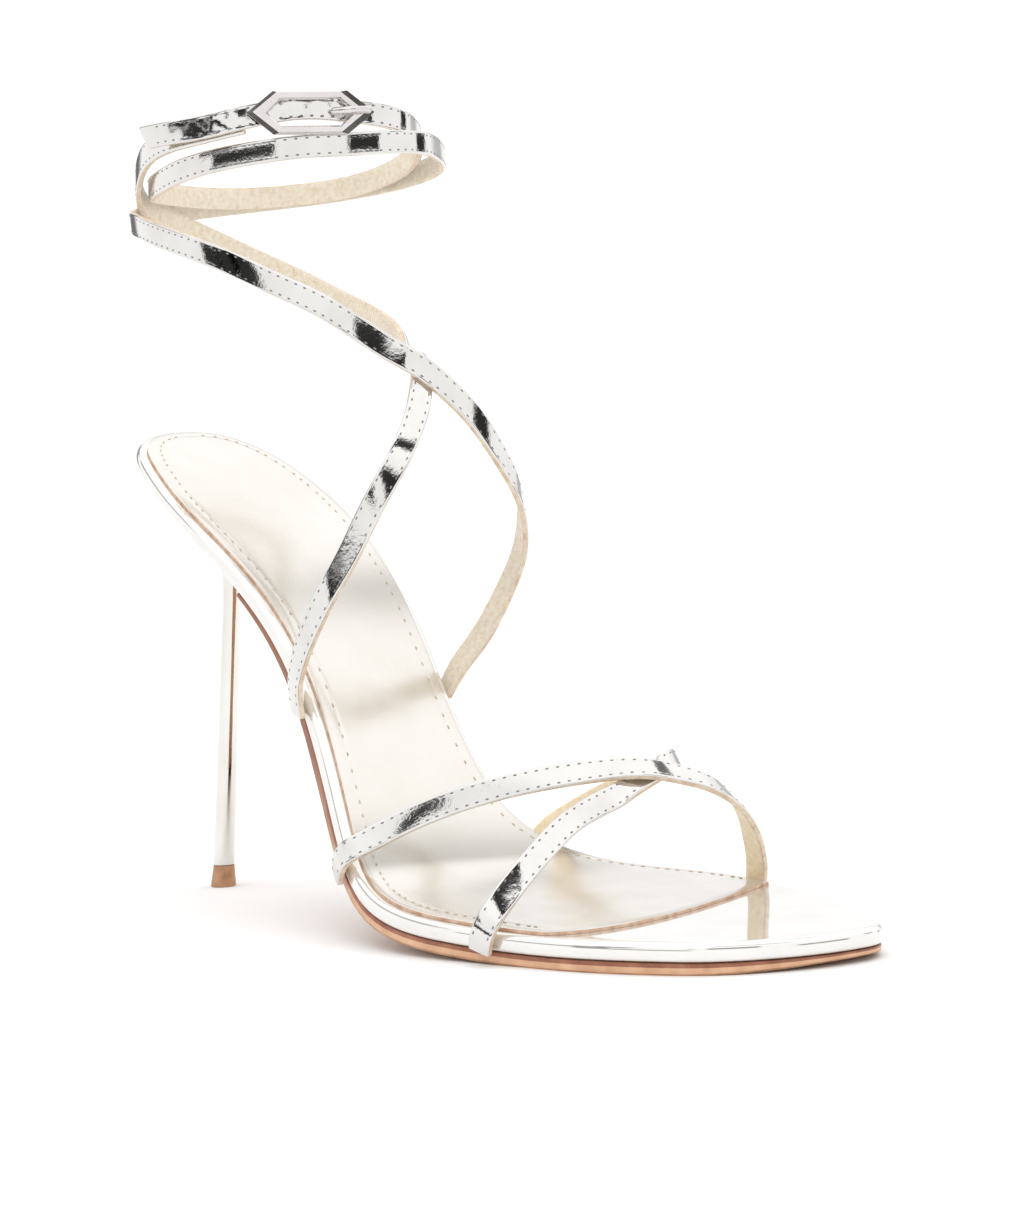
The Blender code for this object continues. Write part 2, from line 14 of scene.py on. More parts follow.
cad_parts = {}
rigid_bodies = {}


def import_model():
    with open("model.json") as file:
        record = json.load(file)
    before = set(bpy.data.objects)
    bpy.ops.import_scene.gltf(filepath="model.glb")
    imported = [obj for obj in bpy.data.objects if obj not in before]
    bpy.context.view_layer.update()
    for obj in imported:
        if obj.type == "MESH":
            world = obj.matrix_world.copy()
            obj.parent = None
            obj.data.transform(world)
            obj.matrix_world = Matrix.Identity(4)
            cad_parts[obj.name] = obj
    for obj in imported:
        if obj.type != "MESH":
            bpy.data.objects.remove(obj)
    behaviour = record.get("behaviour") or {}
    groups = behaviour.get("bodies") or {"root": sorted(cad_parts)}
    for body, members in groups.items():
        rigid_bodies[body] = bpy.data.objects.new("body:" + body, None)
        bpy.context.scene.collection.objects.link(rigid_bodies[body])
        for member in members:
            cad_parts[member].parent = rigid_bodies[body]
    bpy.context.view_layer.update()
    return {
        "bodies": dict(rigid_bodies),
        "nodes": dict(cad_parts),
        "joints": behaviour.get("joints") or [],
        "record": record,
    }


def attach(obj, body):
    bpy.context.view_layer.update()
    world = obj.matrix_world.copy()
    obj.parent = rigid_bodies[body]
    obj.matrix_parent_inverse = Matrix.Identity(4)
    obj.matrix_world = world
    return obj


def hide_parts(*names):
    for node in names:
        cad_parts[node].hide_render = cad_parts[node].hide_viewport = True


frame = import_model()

# ---------------------------------------------------------------- sizes, mm
MM = 0.001
SHIFT_FORWARD = -110.53          # centres the part over the origin
SHIFT_SIDE = -3.3
GAP = 0.3                        # clearance between pieces that meet

PLATFORM = 4.0                   # board and its wrapping
RIM_INSET = 1.1                  # how far the rounded rim draws in
OUTSOLE = 2.55                   # leather sheet, dressed flat where it meets the floor
OUTSOLE_INSET = 0.6
BREAST = 58.0                    # where the outsole starts, at the heel breast
BREAST_THIN = 0.42               # share of its thickness left there
BREAST_TAPER = 32.0              # length over which it reaches full thickness
TOE_SKIVE = 199.0                # where it starts to thin again round the toe
TOE_THIN = 0.55                  # share of its thickness lost at the tip
SOCK = 1.6                       # padded cover on the platform
SOCK_INSET = 2.2
SOCK_END = {"lateral": 171.0, "medial": 163.5}   # where its front edge meets the rim
SOCK_BULGE = 9.3                 # how far that edge bows forward between them

STRAP_WIDTH = 5.2
STRAP_THICK = 1.5
STRAP_STEP = 3.6                 # length of one facet along a strap
FINE_STEP = 0.6                  # spacing along the upper strap of a crossing, to find what lies under it
CROSS_SINK = 0.2                 # how far a strap is let into the one above it, where they are joined
CROSS_FLAT = 3.5                 # off the upper strap's middle, still pressed flat
CROSS_REACH = 8.0                # off the upper strap's middle, free again
STRAP_CLEAR = 0.55               # from a base to the wall it stands against
STRAP_SEAT = 15.0                # length over which a base turns flat to the sole's wall

LIFT_HEIGHT = 5.2
LIFT_RADIUS = {"floor": 3.05, "top": 2.55}
PIN_RADIUS = {"bottom": 2.6, "top": 2.15}
PIN_FOOT = (18.4, -2.4)          # forward, sideways on the floor
PIN_HEAD = (24.9, 0.2, 70.0)     # forward, sideways, up where the flare starts
FLARE = (16.5, 15.0)             # half length, half width under the seat
FLARE_RINGS = 7

BUCKLE_LENGTH = 28.5
BUCKLE_HEIGHT = 9.6
BUCKLE_WALL = 1.9                # along the two long bars
BUCKLE_END = 4.7                 # at the two points
BUCKLE_THICK = 1.7
BUCKLE_CORNER = 6.0              # how far the pointed ends reach past the bars
BUCKLE_WINDOW_CORNER = 2.9       # the same for the opening
BUCKLE_CENTRE = (86.0, -14.25, 180.2)
BUCKLE_TURN = -31.0              # way the buckle faces, degrees from forward
BUCKLE_ROLL = -1.4
PRONG_RADIUS = 0.85

ROWS = 44                        # facets along each side of the sole

# sole edge: half widths either side of the last's axis, and height of the
# platform's underside, at stations from the heel seat to the toe
SOLE = [  # forward, lateral, medial
    (2, 7.0, 11.7), (8, 14.3, 18.0), (18, 19.1, 22.0), (32, 22.2, 24.0),
    (48, 22.4, 23.3), (66, 21.3, 20.3), (84, 23.3, 16.3), (102, 30.2, 16.4),
    (118, 36.6, 24.0), (134, 38.6, 34.8), (150, 37.1, 42.0), (166, 33.6, 43.1),
    (182, 29.8, 39.5), (196, 23.8, 32.3),
]
TOE = [  # forward, sideways: round the front, outer side to inner side
    (205.2, -18.0), (212.0, -10.6), (217.4, -1.4), (220.2, 7.4), (220.7, 13.4),
    (219.4, 17.2), (216.0, 20.9), (210.7, 24.4), (203.7, 28.3),
]
TIP = 4                          # the row of TOE that is foremost
REAR = (0.0, 2.2)                # rearmost point of the seat
PROFILE = [  # forward, up
    (-6, 110.1), (15, 100.8), (30, 92.6), (45, 83.4), (60, 72.1), (75, 57.0),
    (90, 36.8), (105, 18.7), (120, 8.9), (135, 5.0), (150, 3.6), (165, 2.7),
    (180, 2.6), (195, 2.6), (210, 2.6), (224, 2.8),
]

# straps: where the inner face of each runs, base to end
TOE_OVER = [  # forward, sideways, up
    (108.6, -33.6, 14.0), (112.0, -34.9, 18.6), (115.8, -32.6, 21.2),
    (121.7, -27.0, 25.2), (131.4, -18.0, 30.1), (143.8, -6.0, 33.7),
    (157.1, 5.0, 35.3), (162.5, 9.4, 34.9), (166.2, 14.2, 33.3),
    (168.8, 20.0, 30.7), (168.9, 26.6, 26.0), (165.6, 33.4, 19.9),
    (161.0, 39.4, 13.5), (157.0, 43.4, 8.0), (155.6, 43.6, 3.2),
]
TOE_UNDER = [  # forward, sideways, up
    (158.4, -36.0, 3.3), (159.8, -36.3, 7.2), (160.9, -33.9, 11.1),
    (161.2, -30.1, 15.0), (161.2, -24.2, 19.7), (160.8, -18.5, 23.4),
    (159.9, -11.6, 26.7), (159.2, -3.8, 28.9), (159.2, 3.7, 30.8),
    (160.5, 8.7, 32.9), (161.0, 14.1, 35.2), (156.1, 21.3, 35.4),
    (145.4, 27.4, 32.8), (135.0, 29.2, 29.2), (123.6, 28.4, 24.8),
    (116.0, 25.4, 20.6), (111.8, 22.0, 16.8), (110.4, 20.8, 14.2),
]
ANKLE_UNDER = [  # forward, sideways, up
    (83.6, -23.7, 47.0), (85.2, -25.4, 53.6), (89.6, -26.5, 61.0),
    (94.4, -26.0, 68.6), (98.6, -24.6, 75.4), (102.6, -22.2, 82.6),
    (106.8, -18.2, 93.1), (109.4, -12.2, 103.6), (108.0, -6.3, 111.9),
    (105.9, -2.6, 118.9), (101.3, 0.4, 123.6), (91.1, 6.6, 126.4),
    (77.7, 14.6, 129.4), (64.3, 22.0, 132.2), (52.3, 27.6, 135.0),
    (42.2, 31.0, 137.7), (33.5, 30.2, 141.4),
    (24.6, 26.0, 146.6), (18.3, 18.7, 151.6), (15.5, 9.3, 156.4),
    (16.3, -2.7, 160.9), (21.2, -13.4, 163.6), (27.6, -20.6, 166.3),
    (34.2, -25.2, 170.2), (40.8, -28.0, 173.6), (47.8, -29.8, 175.6),
    (55.2, -30.2, 176.7), (62.6, -29.0, 177.4), (69.6, -26.4, 178.3),
    (74.2, -23.8, 179.0),
]
# the other ankle strap: over the instep, twice round the ankle, out to its end
INSTEP_RUN = [  # forward, sideways, up
    (83.2, 17.2, 47.8), (86.2, 19.8, 54.4), (90.2, 22.8, 60.4),
    (95.9, 25.9, 70.7), (102.8, 25.2, 79.8), (108.2, 21.9, 87.0),
    (111.8, 18.0, 93.4), (112.4, 14.2, 100.0), (111.5, 10.2, 107.0),
    (110.3, 6.2, 112.8), (107.5, 0.2, 119.8), (105.4, -4.7, 124.0),
    (101.8, -8.4, 127.3), (96.8, -12.6, 132.0), (89.5, -17.0, 137.6),
    (81.2, -21.7, 142.3), (71.9, -25.7, 147.2), (60.8, -28.8, 151.8),
    (45.8, -29.2, 156.3), (34.4, -26.4, 159.2), (25.8, -21.8, 160.7),
]
FIRST_WRAP = [  # forward, sideways, up
    (18.4, -14.2, 162.4), (13.2, -1.0, 164.3), (13.2, 10.6, 165.6),
    (17.6, 21.0, 166.6), (26.7, 30.2, 167.5), (37.6, 36.0, 168.4),
    (49.4, 38.8, 169.5), (60.6, 38.0, 170.6), (70.8, 33.8, 171.7),
    (79.4, 26.4, 172.8), (85.8, 17.8, 173.8), (89.4, 9.6, 173.8),
    (90.2, 1.4, 173.5), (87.6, -7.2, 173.1), (82.8, -14.7, 173.0),
    (75.9, -20.6, 172.4), (67.0, -25.4, 171.5), (55.6, -28.0, 169.9),
]
SECOND_WRAP = [  # forward, sideways, up
    (45.4, -27.0, 168.2), (34.4, -22.0, 167.5), (24.6, -13.2, 167.6),
    (18.4, -2.4, 167.4), (17.6, 8.8, 167.0), (20.8, 18.2, 167.0),
    (26.9, 26.0, 167.4), (35.3, 32.0, 168.2), (45.4, 35.2, 169.9),
    (54.8, 35.0, 172.0), (63.6, 32.0, 174.2), (72.4, 26.0, 176.0),
    (80.8, 18.4, 177.3), (86.8, 10.6, 178.4),
]
FREE_END = [  # forward, sideways, up
    (89.0, 2.8, 179.6), (87.2, -6.0, 180.1), (83.4, -13.4, 180.2),
    (79.4, -20.0, 180.2), (74.8, -26.8, 179.4), (67.8, -30.8, 178.3),
    (58.8, -33.8, 177.9), (51.6, -34.4, 177.6),
]
ANKLE_OVER = INSTEP_RUN + FIRST_WRAP + SECOND_WRAP + FREE_END
# a line inside the last that every strap faces away from
SPINE = [  # forward, sideways, up
    (54, 4, 195), (54, 4, 165), (56, 3, 140), (64, 2, 118), (80, 1, 96),
    (94, 1, 74), (104, 1, 54), (116, 1, 30), (126, 3, 10),
]
# how far a strap is turned about its own length from facing away from that line
OVER_TURN = [  # length from the base, degrees
    (0, 0), (42, 0), (64, -12), (80, -20), (96, -30), (110, -28), (124, -14), (140, 0),
]
UNDER_TURN = [  # length from the base, degrees
    (0, 0), (12, 8), (40, 8), (66, 0), (80, -10), (94, -14), (108, 0), (124, 0),
]
TOE_TURN = [  # length from the base, degrees
    (0, 0), (70, 0), (88, -16), (100, -34), (112, -46), (120, -36), (125, -18), (129, 0),
]
NO_TURN = [(0, 0), (1, 0)]
TOE_CROSS = (30.0, 110.0)        # stretch of each lower strap that passes under the upper one
ANKLE_CROSS = (66.0, 130.0)


# ---------------------------------------------------------------- curves
def spline(points, closed=False):
    """Cubic curve through points, paced by the root of the chord length."""
    p = np.asarray(points, float)
    if closed:
        p = np.vstack([p, p[:1]])
    t = np.concatenate([[0.0], np.cumsum(np.linalg.norm(np.diff(p, axis=0), axis=1) ** 0.5)])
    h = np.diff(t)
    n = len(p)
    a = np.zeros((n, n))
    r = np.zeros((n, p.shape[1]))
    slope = np.diff(p, axis=0) / h[:, None]
    for i in range(1, n - 1):
        a[i, i - 1], a[i, i], a[i, i + 1] = h[i - 1], 2 * (h[i - 1] + h[i]), h[i]
        r[i] = 6 * (slope[i] - slope[i - 1])
    if closed:
        a[0, 0], a[0, 1], a[0, n - 2] = 2 * (h[0] + h[-1]), h[0], h[-1]
        r[0] = 6 * (slope[0] - slope[-1])
        a[-1, 0], a[-1, -1] = 1, -1
    else:
        a[0, 0] = a[-1, -1] = 1
    m = np.linalg.solve(a, r)

    def at(s):
        s = np.clip(np.atleast_1d(np.asarray(s, float)), t[0], t[-1])
        i = np.clip(np.searchsorted(t, s, side="right") - 1, 0, n - 2)
        u, w, k = (t[i + 1] - s)[:, None], (s - t[i])[:, None], h[i][:, None]
        return (m[i] * u ** 3 + m[i + 1] * w ** 3) / (6 * k) + (
            p[i] / k - m[i] * k / 6) * u + (p[i + 1] / k - m[i + 1] * k / 6) * w

    return at, t


def even(points, step):
    """Points about one step apart along the curve through the given ones."""
    at, t = spline(points)
    fine = at(np.linspace(t[0], t[-1], 1500))
    s = np.concatenate([[0.0], np.cumsum(np.linalg.norm(np.diff(fine, axis=0), axis=1))])
    count = max(3, int(round(s[-1] / step)) + 1)
    want = np.linspace(0.0, s[-1], count)
    return np.stack([np.interp(want, s, fine[:, k]) for k in range(3)], 1)


def unit(v):
    return v / (np.linalg.norm(v, axis=-1, keepdims=True) + 1e-12)


def run_length(path):
    return np.concatenate([[0.0], np.cumsum(np.linalg.norm(np.diff(path, axis=0), axis=1))])


# ---------------------------------------------------------------- the last
_profile_at, _profile_t = spline(PROFILE)
_profile_fine = _profile_at(np.linspace(_profile_t[0], _profile_t[-1], 800))


def rise(forward):
    """Height of the platform's underside."""
    return np.interp(forward, _profile_fine[:, 0], _profile_fine[:, 1])


def on_last(forward, sideways, height):
    """A point a given height off the platform's underside, square to it."""
    slope = (rise(forward + 0.5) - rise(forward - 0.5)) / 1.0
    k = 1.0 / np.sqrt(1.0 + slope * slope)
    return np.stack([forward - slope * k * height, sideways + 0.0 * forward,
                     rise(forward) + k * height], -1)


def sole_edges(rows):
    """Lateral and medial edge in plan, heel to toe, with inward directions."""
    lateral = [REAR] + [(x, -l) for x, l, m in SOLE] + TOE[:TIP + 1]
    medial = TOE[TIP + 1:] + [(x, m) for x, l, m in SOLE][::-1]
    at, t = spline(lateral + medial, closed=True)
    tip = t[len(lateral) - 1]
    out = []
    for start, stop, turn in ((t[0], tip, 1.0), (t[-1], tip, -1.0)):
        s = np.linspace(start, stop, rows + 1)
        p = at(s)
        d = unit(at(np.clip(s + 0.01 * turn, t[0], t[-1])) - at(np.clip(s - 0.01 * turn, t[0], t[-1])))
        inward = np.stack([-d[:, 1], d[:, 0]], 1) * turn
        out.append((p, inward))
    return out


def outsole_share(forward):
    """Share of the outsole's thickness at a station: thinner at the breast and round the toe."""
    grown = np.clip((forward - BREAST) / BREAST_TAPER, 0.0, 1.0)
    toe = np.clip((forward - TOE_SKIVE) / (TOE[TIP][0] - TOE_SKIVE), 0.0, 1.0)
    return (BREAST_THIN + (1.0 - BREAST_THIN) * grown) * (1.0 - TOE_THIN * toe * toe)


def spine_foot(p):
    """Nearest point of the line inside the last."""
    s = np.asarray(SPINE, float)
    best, where = 1e9, s[0]
    for a, b in zip(s, s[1:]):
        f = np.clip(np.dot(p - a, b - a) / np.dot(b - a, b - a), 0, 1)
        q = a + f * (b - a)
        d = np.linalg.norm(p - q)
        if d < best:
            best, where = d, q
    return where


def wall_near(p):
    """Nearest point of the sole's wall, and the way that wall faces."""
    best, where, face = 1e9, None, None
    for edge, inward in sole_edges(400):
        for height in (0.5, 0.5 * PLATFORM, PLATFORM - 1.0):
            q = on_last(edge[:, 0], edge[:, 1], height)
            d = np.linalg.norm(q - p, axis=1)
            i = int(d.argmin())
            if d[i] < best:
                best, where, face = d[i], q[i], np.array([-inward[i][0], -inward[i][1], 0.0])
    return where, face


def strap_frame(table, turns, seats, step):
    """Middle of a strap's inner face, the way it faces, and the length run.

    seats: which ends (first 0, last -1) stand against the sole's wall.
    """
    path = even(table, step)
    out = unit(np.array([p - spine_foot(p) for p in path]))
    run = run_length(path)
    for end in seats:
        far = abs(run - run[end])
        flat = np.clip(1.0 - far / STRAP_SEAT, 0.0, 1.0)[:, None] ** 0.6
        where, face = wall_near(path[end])
        path = path + flat * face * (STRAP_CLEAR - np.dot(path[end] - where, face))
        out = unit(out * (1.0 - flat) + flat * face)
    for _ in range(int(3 * (STRAP_STEP / step) ** 2)):
        out[1:-1] = unit(0.25 * out[:-2] + 0.5 * out[1:-1] + 0.25 * out[2:])
    along = unit(np.gradient(path, axis=0))
    out = unit(out - (out * along).sum(1, keepdims=True) * along)
    turn = np.radians(np.interp(run, *np.transpose(turns)))[:, None]
    out = out * np.cos(turn) + np.cross(along, out) * np.sin(turn)
    return path, out, run


def tuck(path, out, run, over, stretch):
    """Presses a stretch of one strap flat under another where it passes below it."""
    over_path, over_out = over[:2]
    path, out = path.copy(), out.copy()
    for i in range(len(path)):
        if not stretch[0] < run[i] < stretch[1]:
            continue
        j = int(np.linalg.norm(over_path - path[i], axis=1).argmin())
        apart = path[i] - over_path[j]
        up = np.dot(apart, over_out[j])
        flat = np.linalg.norm(apart - up * over_out[j])
        share = np.clip((CROSS_REACH - flat) / (CROSS_REACH - CROSS_FLAT), 0.0, 1.0)
        share = share * share * (3 - 2 * share) * np.clip(1.5 - 1.5 * abs(up) / CROSS_REACH, 0.0, 1.0)
        path[i] += share * min(0.0, CROSS_SINK - STRAP_THICK - up) * over_out[j]
        out[i] = unit((1 - share) * out[i] + share * over_out[j])
    return path, out, run


# ---------------------------------------------------------------- materials
def new_material(name):
    mat = bpy.data.materials.new(name)
    mat.use_nodes = True
    tree = mat.node_tree
    return mat, tree, tree.nodes["Principled BSDF"]


def set_inputs(shader, **values):
    for key, value in values.items():
        shader.inputs[key.replace("_", " ")].default_value = value


def noise(tree, scale, detail=2.0, rough=0.5, stretch=None, distortion=0.0):
    coords = tree.nodes.new("ShaderNodeTexCoord")
    tex = tree.nodes.new("ShaderNodeTexNoise")
    tex.inputs["Scale"].default_value = scale
    tex.inputs["Detail"].default_value = detail
    tex.inputs["Roughness"].default_value = rough
    tex.inputs["Distortion"].default_value = distortion
    source = coords.outputs["Object"]
    if stretch is not None:
        mapping = tree.nodes.new("ShaderNodeMapping")
        mapping.inputs["Scale"].default_value = stretch
        tree.links.new(source, mapping.inputs["Vector"])
        source = mapping.outputs["Vector"]
    tree.links.new(source, tex.inputs["Vector"])
    return tex.outputs["Fac"]


def cells(tree, scale):
    coords = tree.nodes.new("ShaderNodeTexCoord")
    tex = tree.nodes.new("ShaderNodeTexVoronoi")
    tex.inputs["Scale"].default_value = scale
    tree.links.new(coords.outputs["Object"], tex.inputs["Vector"])
    return tex.outputs["Distance"]


def colour_ramp(tree, fac, stops):
    ramp = tree.nodes.new("ShaderNodeValToRGB")
    items = ramp.color_ramp.elements
    while len(items) < len(stops):
        items.new(0.5)
    for item, (place, colour) in zip(items, stops):
        item.position = place
        item.color = (*colour, 1.0)
    tree.links.new(fac, ramp.inputs["Fac"])
    return ramp.outputs["Color"]


def remap(tree, fac, low, high, start=0.0, stop=1.0):
    node = tree.nodes.new("ShaderNodeMapRange")
    node.inputs["From Min"].default_value = start
    node.inputs["From Max"].default_value = stop
    node.inputs["To Min"].default_value = low
    node.inputs["To Max"].default_value = high
    tree.links.new(fac, node.inputs["Value"])
    return node.outputs["Result"]


def bump(tree, shader, layers):
    """Stack of bumps: (height socket, strength, depth in mm)."""
    normal = None
    for height, strength, depth in layers:
        node = tree.nodes.new("ShaderNodeBump")
        node.inputs["Strength"].default_value = strength
        node.inputs["Distance"].default_value = depth * MM
        tree.links.new(height, node.inputs["Height"])
        if normal is not None:
            tree.links.new(normal, node.inputs["Normal"])
        normal = node.outputs["Normal"]
    tree.links.new(normal, shader.inputs["Normal"])


def leather(name, tones, metallic, rough, grain, tone_scale=90.0):
    """tones: colours from dark to pale; rough: low, high; grain: list of (scale, strength, depth mm)."""
    mat, tree, shader = new_material(name)
    stops = [(0.32 + 0.36 * k / (len(tones) - 1), c) for k, c in enumerate(tones)]
    tree.links.new(colour_ramp(tree, noise(tree, tone_scale, 3.0, 0.55), stops), shader.inputs["Base Color"])
    set_inputs(shader, Metallic=metallic)
    tree.links.new(remap(tree, noise(tree, tone_scale * 2.3, 2.0), rough[0], rough[1], 0.35, 0.65), shader.inputs["Roughness"])
    bump(tree, shader, [(noise(tree, s, 3.0, 0.6) if kind == "noise" else cells(tree, s), strength, depth)
                        for kind, s, strength, depth in grain])
    return mat


MIRROR = leather("mirror_leather", [(0.66, 0.643, 0.622), (0.70, 0.686, 0.667), (0.725, 0.713, 0.698)], 1.0, (0.035, 0.075),
                 [("noise", 700.0, 0.10, 0.25), ("noise", 2100.0, 0.06, 0.06)])
WALL = leather("wall_leather", [(0.77, 0.752, 0.725), (0.80, 0.786, 0.762), (0.82, 0.808, 0.788)], 0.7, (0.03, 0.07),
               [("noise", 160.0, 0.03, 0.3), ("noise", 1500.0, 0.02, 0.05)])
PIN = leather("pin_foil", [(0.73, 0.71, 0.66), (0.76, 0.742, 0.70), (0.78, 0.765, 0.725)], 1.0, (0.03, 0.06),
              [("noise", 120.0, 0.02, 0.3), ("noise", 1200.0, 0.015, 0.05)])
LINING = leather("lining_leather", [(0.69, 0.59, 0.45), (0.76, 0.675, 0.545), (0.80, 0.735, 0.62)], 0.25, (0.36, 0.5),
                 [("noise", 1200.0, 0.35, 0.14), ("noise", 500.0, 0.25, 0.2)], 900.0)
LINING_GOLD = leather("toe_lining_leather", [(0.84, 0.68, 0.44), (0.91, 0.77, 0.54), (0.95, 0.84, 0.64)], 0.15, (0.36, 0.5),
                      [("noise", 1200.0, 0.35, 0.14), ("noise", 500.0, 0.25, 0.2)], 900.0)
SOCK_TOP = leather("sock_leather", [(0.70, 0.665, 0.62), (0.72, 0.69, 0.648), (0.74, 0.712, 0.675)], 0.8, (0.19, 0.25),
                   [("noise", 120.0, 0.05, 0.3), ("noise", 330.0, 0.03, 0.15)], 45.0)
RAW = leather("raw_edge", [(0.46, 0.27, 0.17), (0.62, 0.41, 0.28), (0.73, 0.54, 0.40)], 0.0, (0.6, 0.8),
              [("noise", 2200.0, 0.5, 0.12)], 500.0)
RAW_PALE = leather("strap_edge", [(0.58, 0.43, 0.31), (0.70, 0.56, 0.42), (0.78, 0.67, 0.54)], 0.0, (0.5, 0.7),
                   [("noise", 2200.0, 0.4, 0.10)], 420.0)
# painted shadow: near-black for the platform's underside and the lowest turn of its rim, the shadow line in the joint
# over the outsole
JOINT_SHADE = leather("joint_painted_shade", [(0.015, 0.012, 0.010), (0.03, 0.025, 0.02), (0.05, 0.04, 0.03)], 0.0, (0.4, 0.6),
              [("noise", 1500.0, 0.2, 0.05)], 300.0)
SOLE_BROWN = leather("sole_edge_dark", [(0.22, 0.075, 0.04), (0.30, 0.11, 0.06), (0.37, 0.15, 0.085)], 0.0, (0.32, 0.48),
                     [("noise", 1600.0, 0.2, 0.06)], 200.0)
SOLE_TAN = leather("sole_edge_tan", [(0.58, 0.33, 0.19), (0.66, 0.39, 0.235), (0.72, 0.45, 0.28)], 0.0, (0.35, 0.5),
                   [("noise", 1600.0, 0.2, 0.06)], 200.0)
SOLE_FACE = leather("sole_leather", [(0.36, 0.18, 0.09), (0.45, 0.24, 0.13), (0.52, 0.30, 0.17)], 0.0, (0.42, 0.6),
                    [("noise", 1100.0, 0.25, 0.08), ("noise", 300.0, 0.15, 0.12), ("noise", 2400.0, 0.2, 0.05)], 70.0)
LIFT = leather("lift_rubber", [(0.34, 0.17, 0.085), (0.44, 0.235, 0.125), (0.52, 0.29, 0.16)], 0.0, (0.45, 0.62),
               [("noise", 1800.0, 0.3, 0.08)], 260.0)
METAL = leather("buckle_metal", [(0.63, 0.60, 0.595), (0.67, 0.64, 0.635), (0.70, 0.672, 0.668)], 1.0, (0.05, 0.11),
                [("noise", 1400.0, 0.02, 0.03)], 150.0)
# painted reflection: a near-black copy of the buckle metal for the bevel facets that show dark
METAL_PAINTED_SHADE = leather("buckle_bevel_painted_shade", [(0.05, 0.048, 0.044), (0.085, 0.082, 0.075), (0.12, 0.116, 0.108)], 1.0, (0.06, 0.12),
                     [("noise", 1400.0, 0.02, 0.03)], 150.0)
# strap thread, made dark as painted shade of the puckered needle holes around each stitch
THREAD_AND_HOLE_SHADE = leather("thread", [(0.13, 0.125, 0.12), (0.20, 0.192, 0.185), (0.28, 0.27, 0.26)], 0.0, (0.5, 0.7),
                 [("noise", 3500.0, 0.4, 0.06)], 900.0)
SOCK_THREAD = leather("sock_thread", [(0.40, 0.33, 0.22), (0.52, 0.44, 0.31), (0.62, 0.54, 0.40)], 0.0, (0.5, 0.7),
                      [("noise", 3500.0, 0.4, 0.06)], 900.0)


# ---------------------------------------------------------------- meshes
def to_world(points):
    return (np.asarray(points, float) + np.array([SHIFT_FORWARD, SHIFT_SIDE, 0.0])) * MM


def piece(name, verts, faces, mats, face_mats=None, angle=40.0, replaces=()):
    mesh = bpy.data.meshes.new(name)
    mesh.from_pydata(to_world(verts).tolist(), [], faces)
    for mat in mats:
        mesh.materials.append(mat)
    if face_mats is not None:
        mesh.polygons.foreach_set("material_index", np.asarray(face_mats, np.int32))
    bm = bmesh.new()
    bm.from_mesh(mesh)
    bmesh.ops.remove_doubles(bm, verts=bm.verts, dist=2e-6)
    bmesh.ops.dissolve_degenerate(bm, edges=bm.edges, dist=1e-7)
    bmesh.ops.recalc_face_normals(bm, faces=bm.faces)
    bm.to_mesh(mesh)
    bm.free()
    mesh.shade_smooth()
    mesh.set_sharp_from_angle(angle=math.radians(angle))
    obj = bpy.data.objects.new(name, mesh)
    bpy.context.scene.collection.objects.link(obj)
    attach(obj, "root")
    if replaces:
        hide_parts(*replaces)
    return obj


def paint_shade(obj, mat, share, colour):
    """Painted shade: mixes a colour into a material by a share given at each of the piece's vertices, darkening it
    there.
    """
    # the share of painted shade at each vertex
    layer = obj.data.attributes.new("painted_shade", "FLOAT", "POINT")
    layer.data.foreach_set("value", np.clip(share, 0.0, 1.0).astype(np.float32))
    tree = mat.node_tree
    shader = tree.nodes["Principled BSDF"]
    plain = shader.inputs["Base Color"].links[0].from_socket
    shade_node = tree.nodes.new("ShaderNodeAttribute")
    shade_node.attribute_name = "painted_shade"
    mix = tree.nodes.new("ShaderNodeMix")
    mix.data_type, mix.blend_type = "RGBA", "MIX"
    tree.links.new(shade_node.outputs["Fac"], mix.inputs[0])
    tree.links.new(plain, mix.inputs[6])
    mix.inputs[7].default_value = (*colour, 1.0)
    tree.links.new(mix.outputs[2], shader.inputs["Base Color"])


def plan_of(obj):
    """Forward and sideways place of each vertex, mm."""
    return np.array([v.co[:2] for v in obj.data.vertices]) / MM - np.array([SHIFT_FORWARD, SHIFT_SIDE])


class Mesh:
    """Collects vertices and faces with a material number."""

    def __init__(self):
        self.verts, self.faces, self.mats = [], [], []

    def add(self, points):
        start = len(self.verts)
        self.verts.extend(np.asarray(points, float).reshape(-1, 3).tolist())
        return np.arange(start, len(self.verts))

    def face(self, loop, mat=0):
        loop = [int(k) for k in loop]
        if len(set(loop)) > 2:
            self.faces.append(loop)
            self.mats.append(mat)

    def strip(self, a, b, closed, mat=0):
        n = len(a)
        for k in range(n if closed else n - 1):
            q = (k + 1) % n
            self.face((a[k], a[q], b[q], b[k]), mat)

    def grid(self, rows, mat=0):
        for a, b in zip(rows, rows[1:]):
            self.strip(a, b, False, mat)


# ---------------------------------------------------------------- straps
STITCH_PITCH = 2.3
STITCH_INSET = 0.82


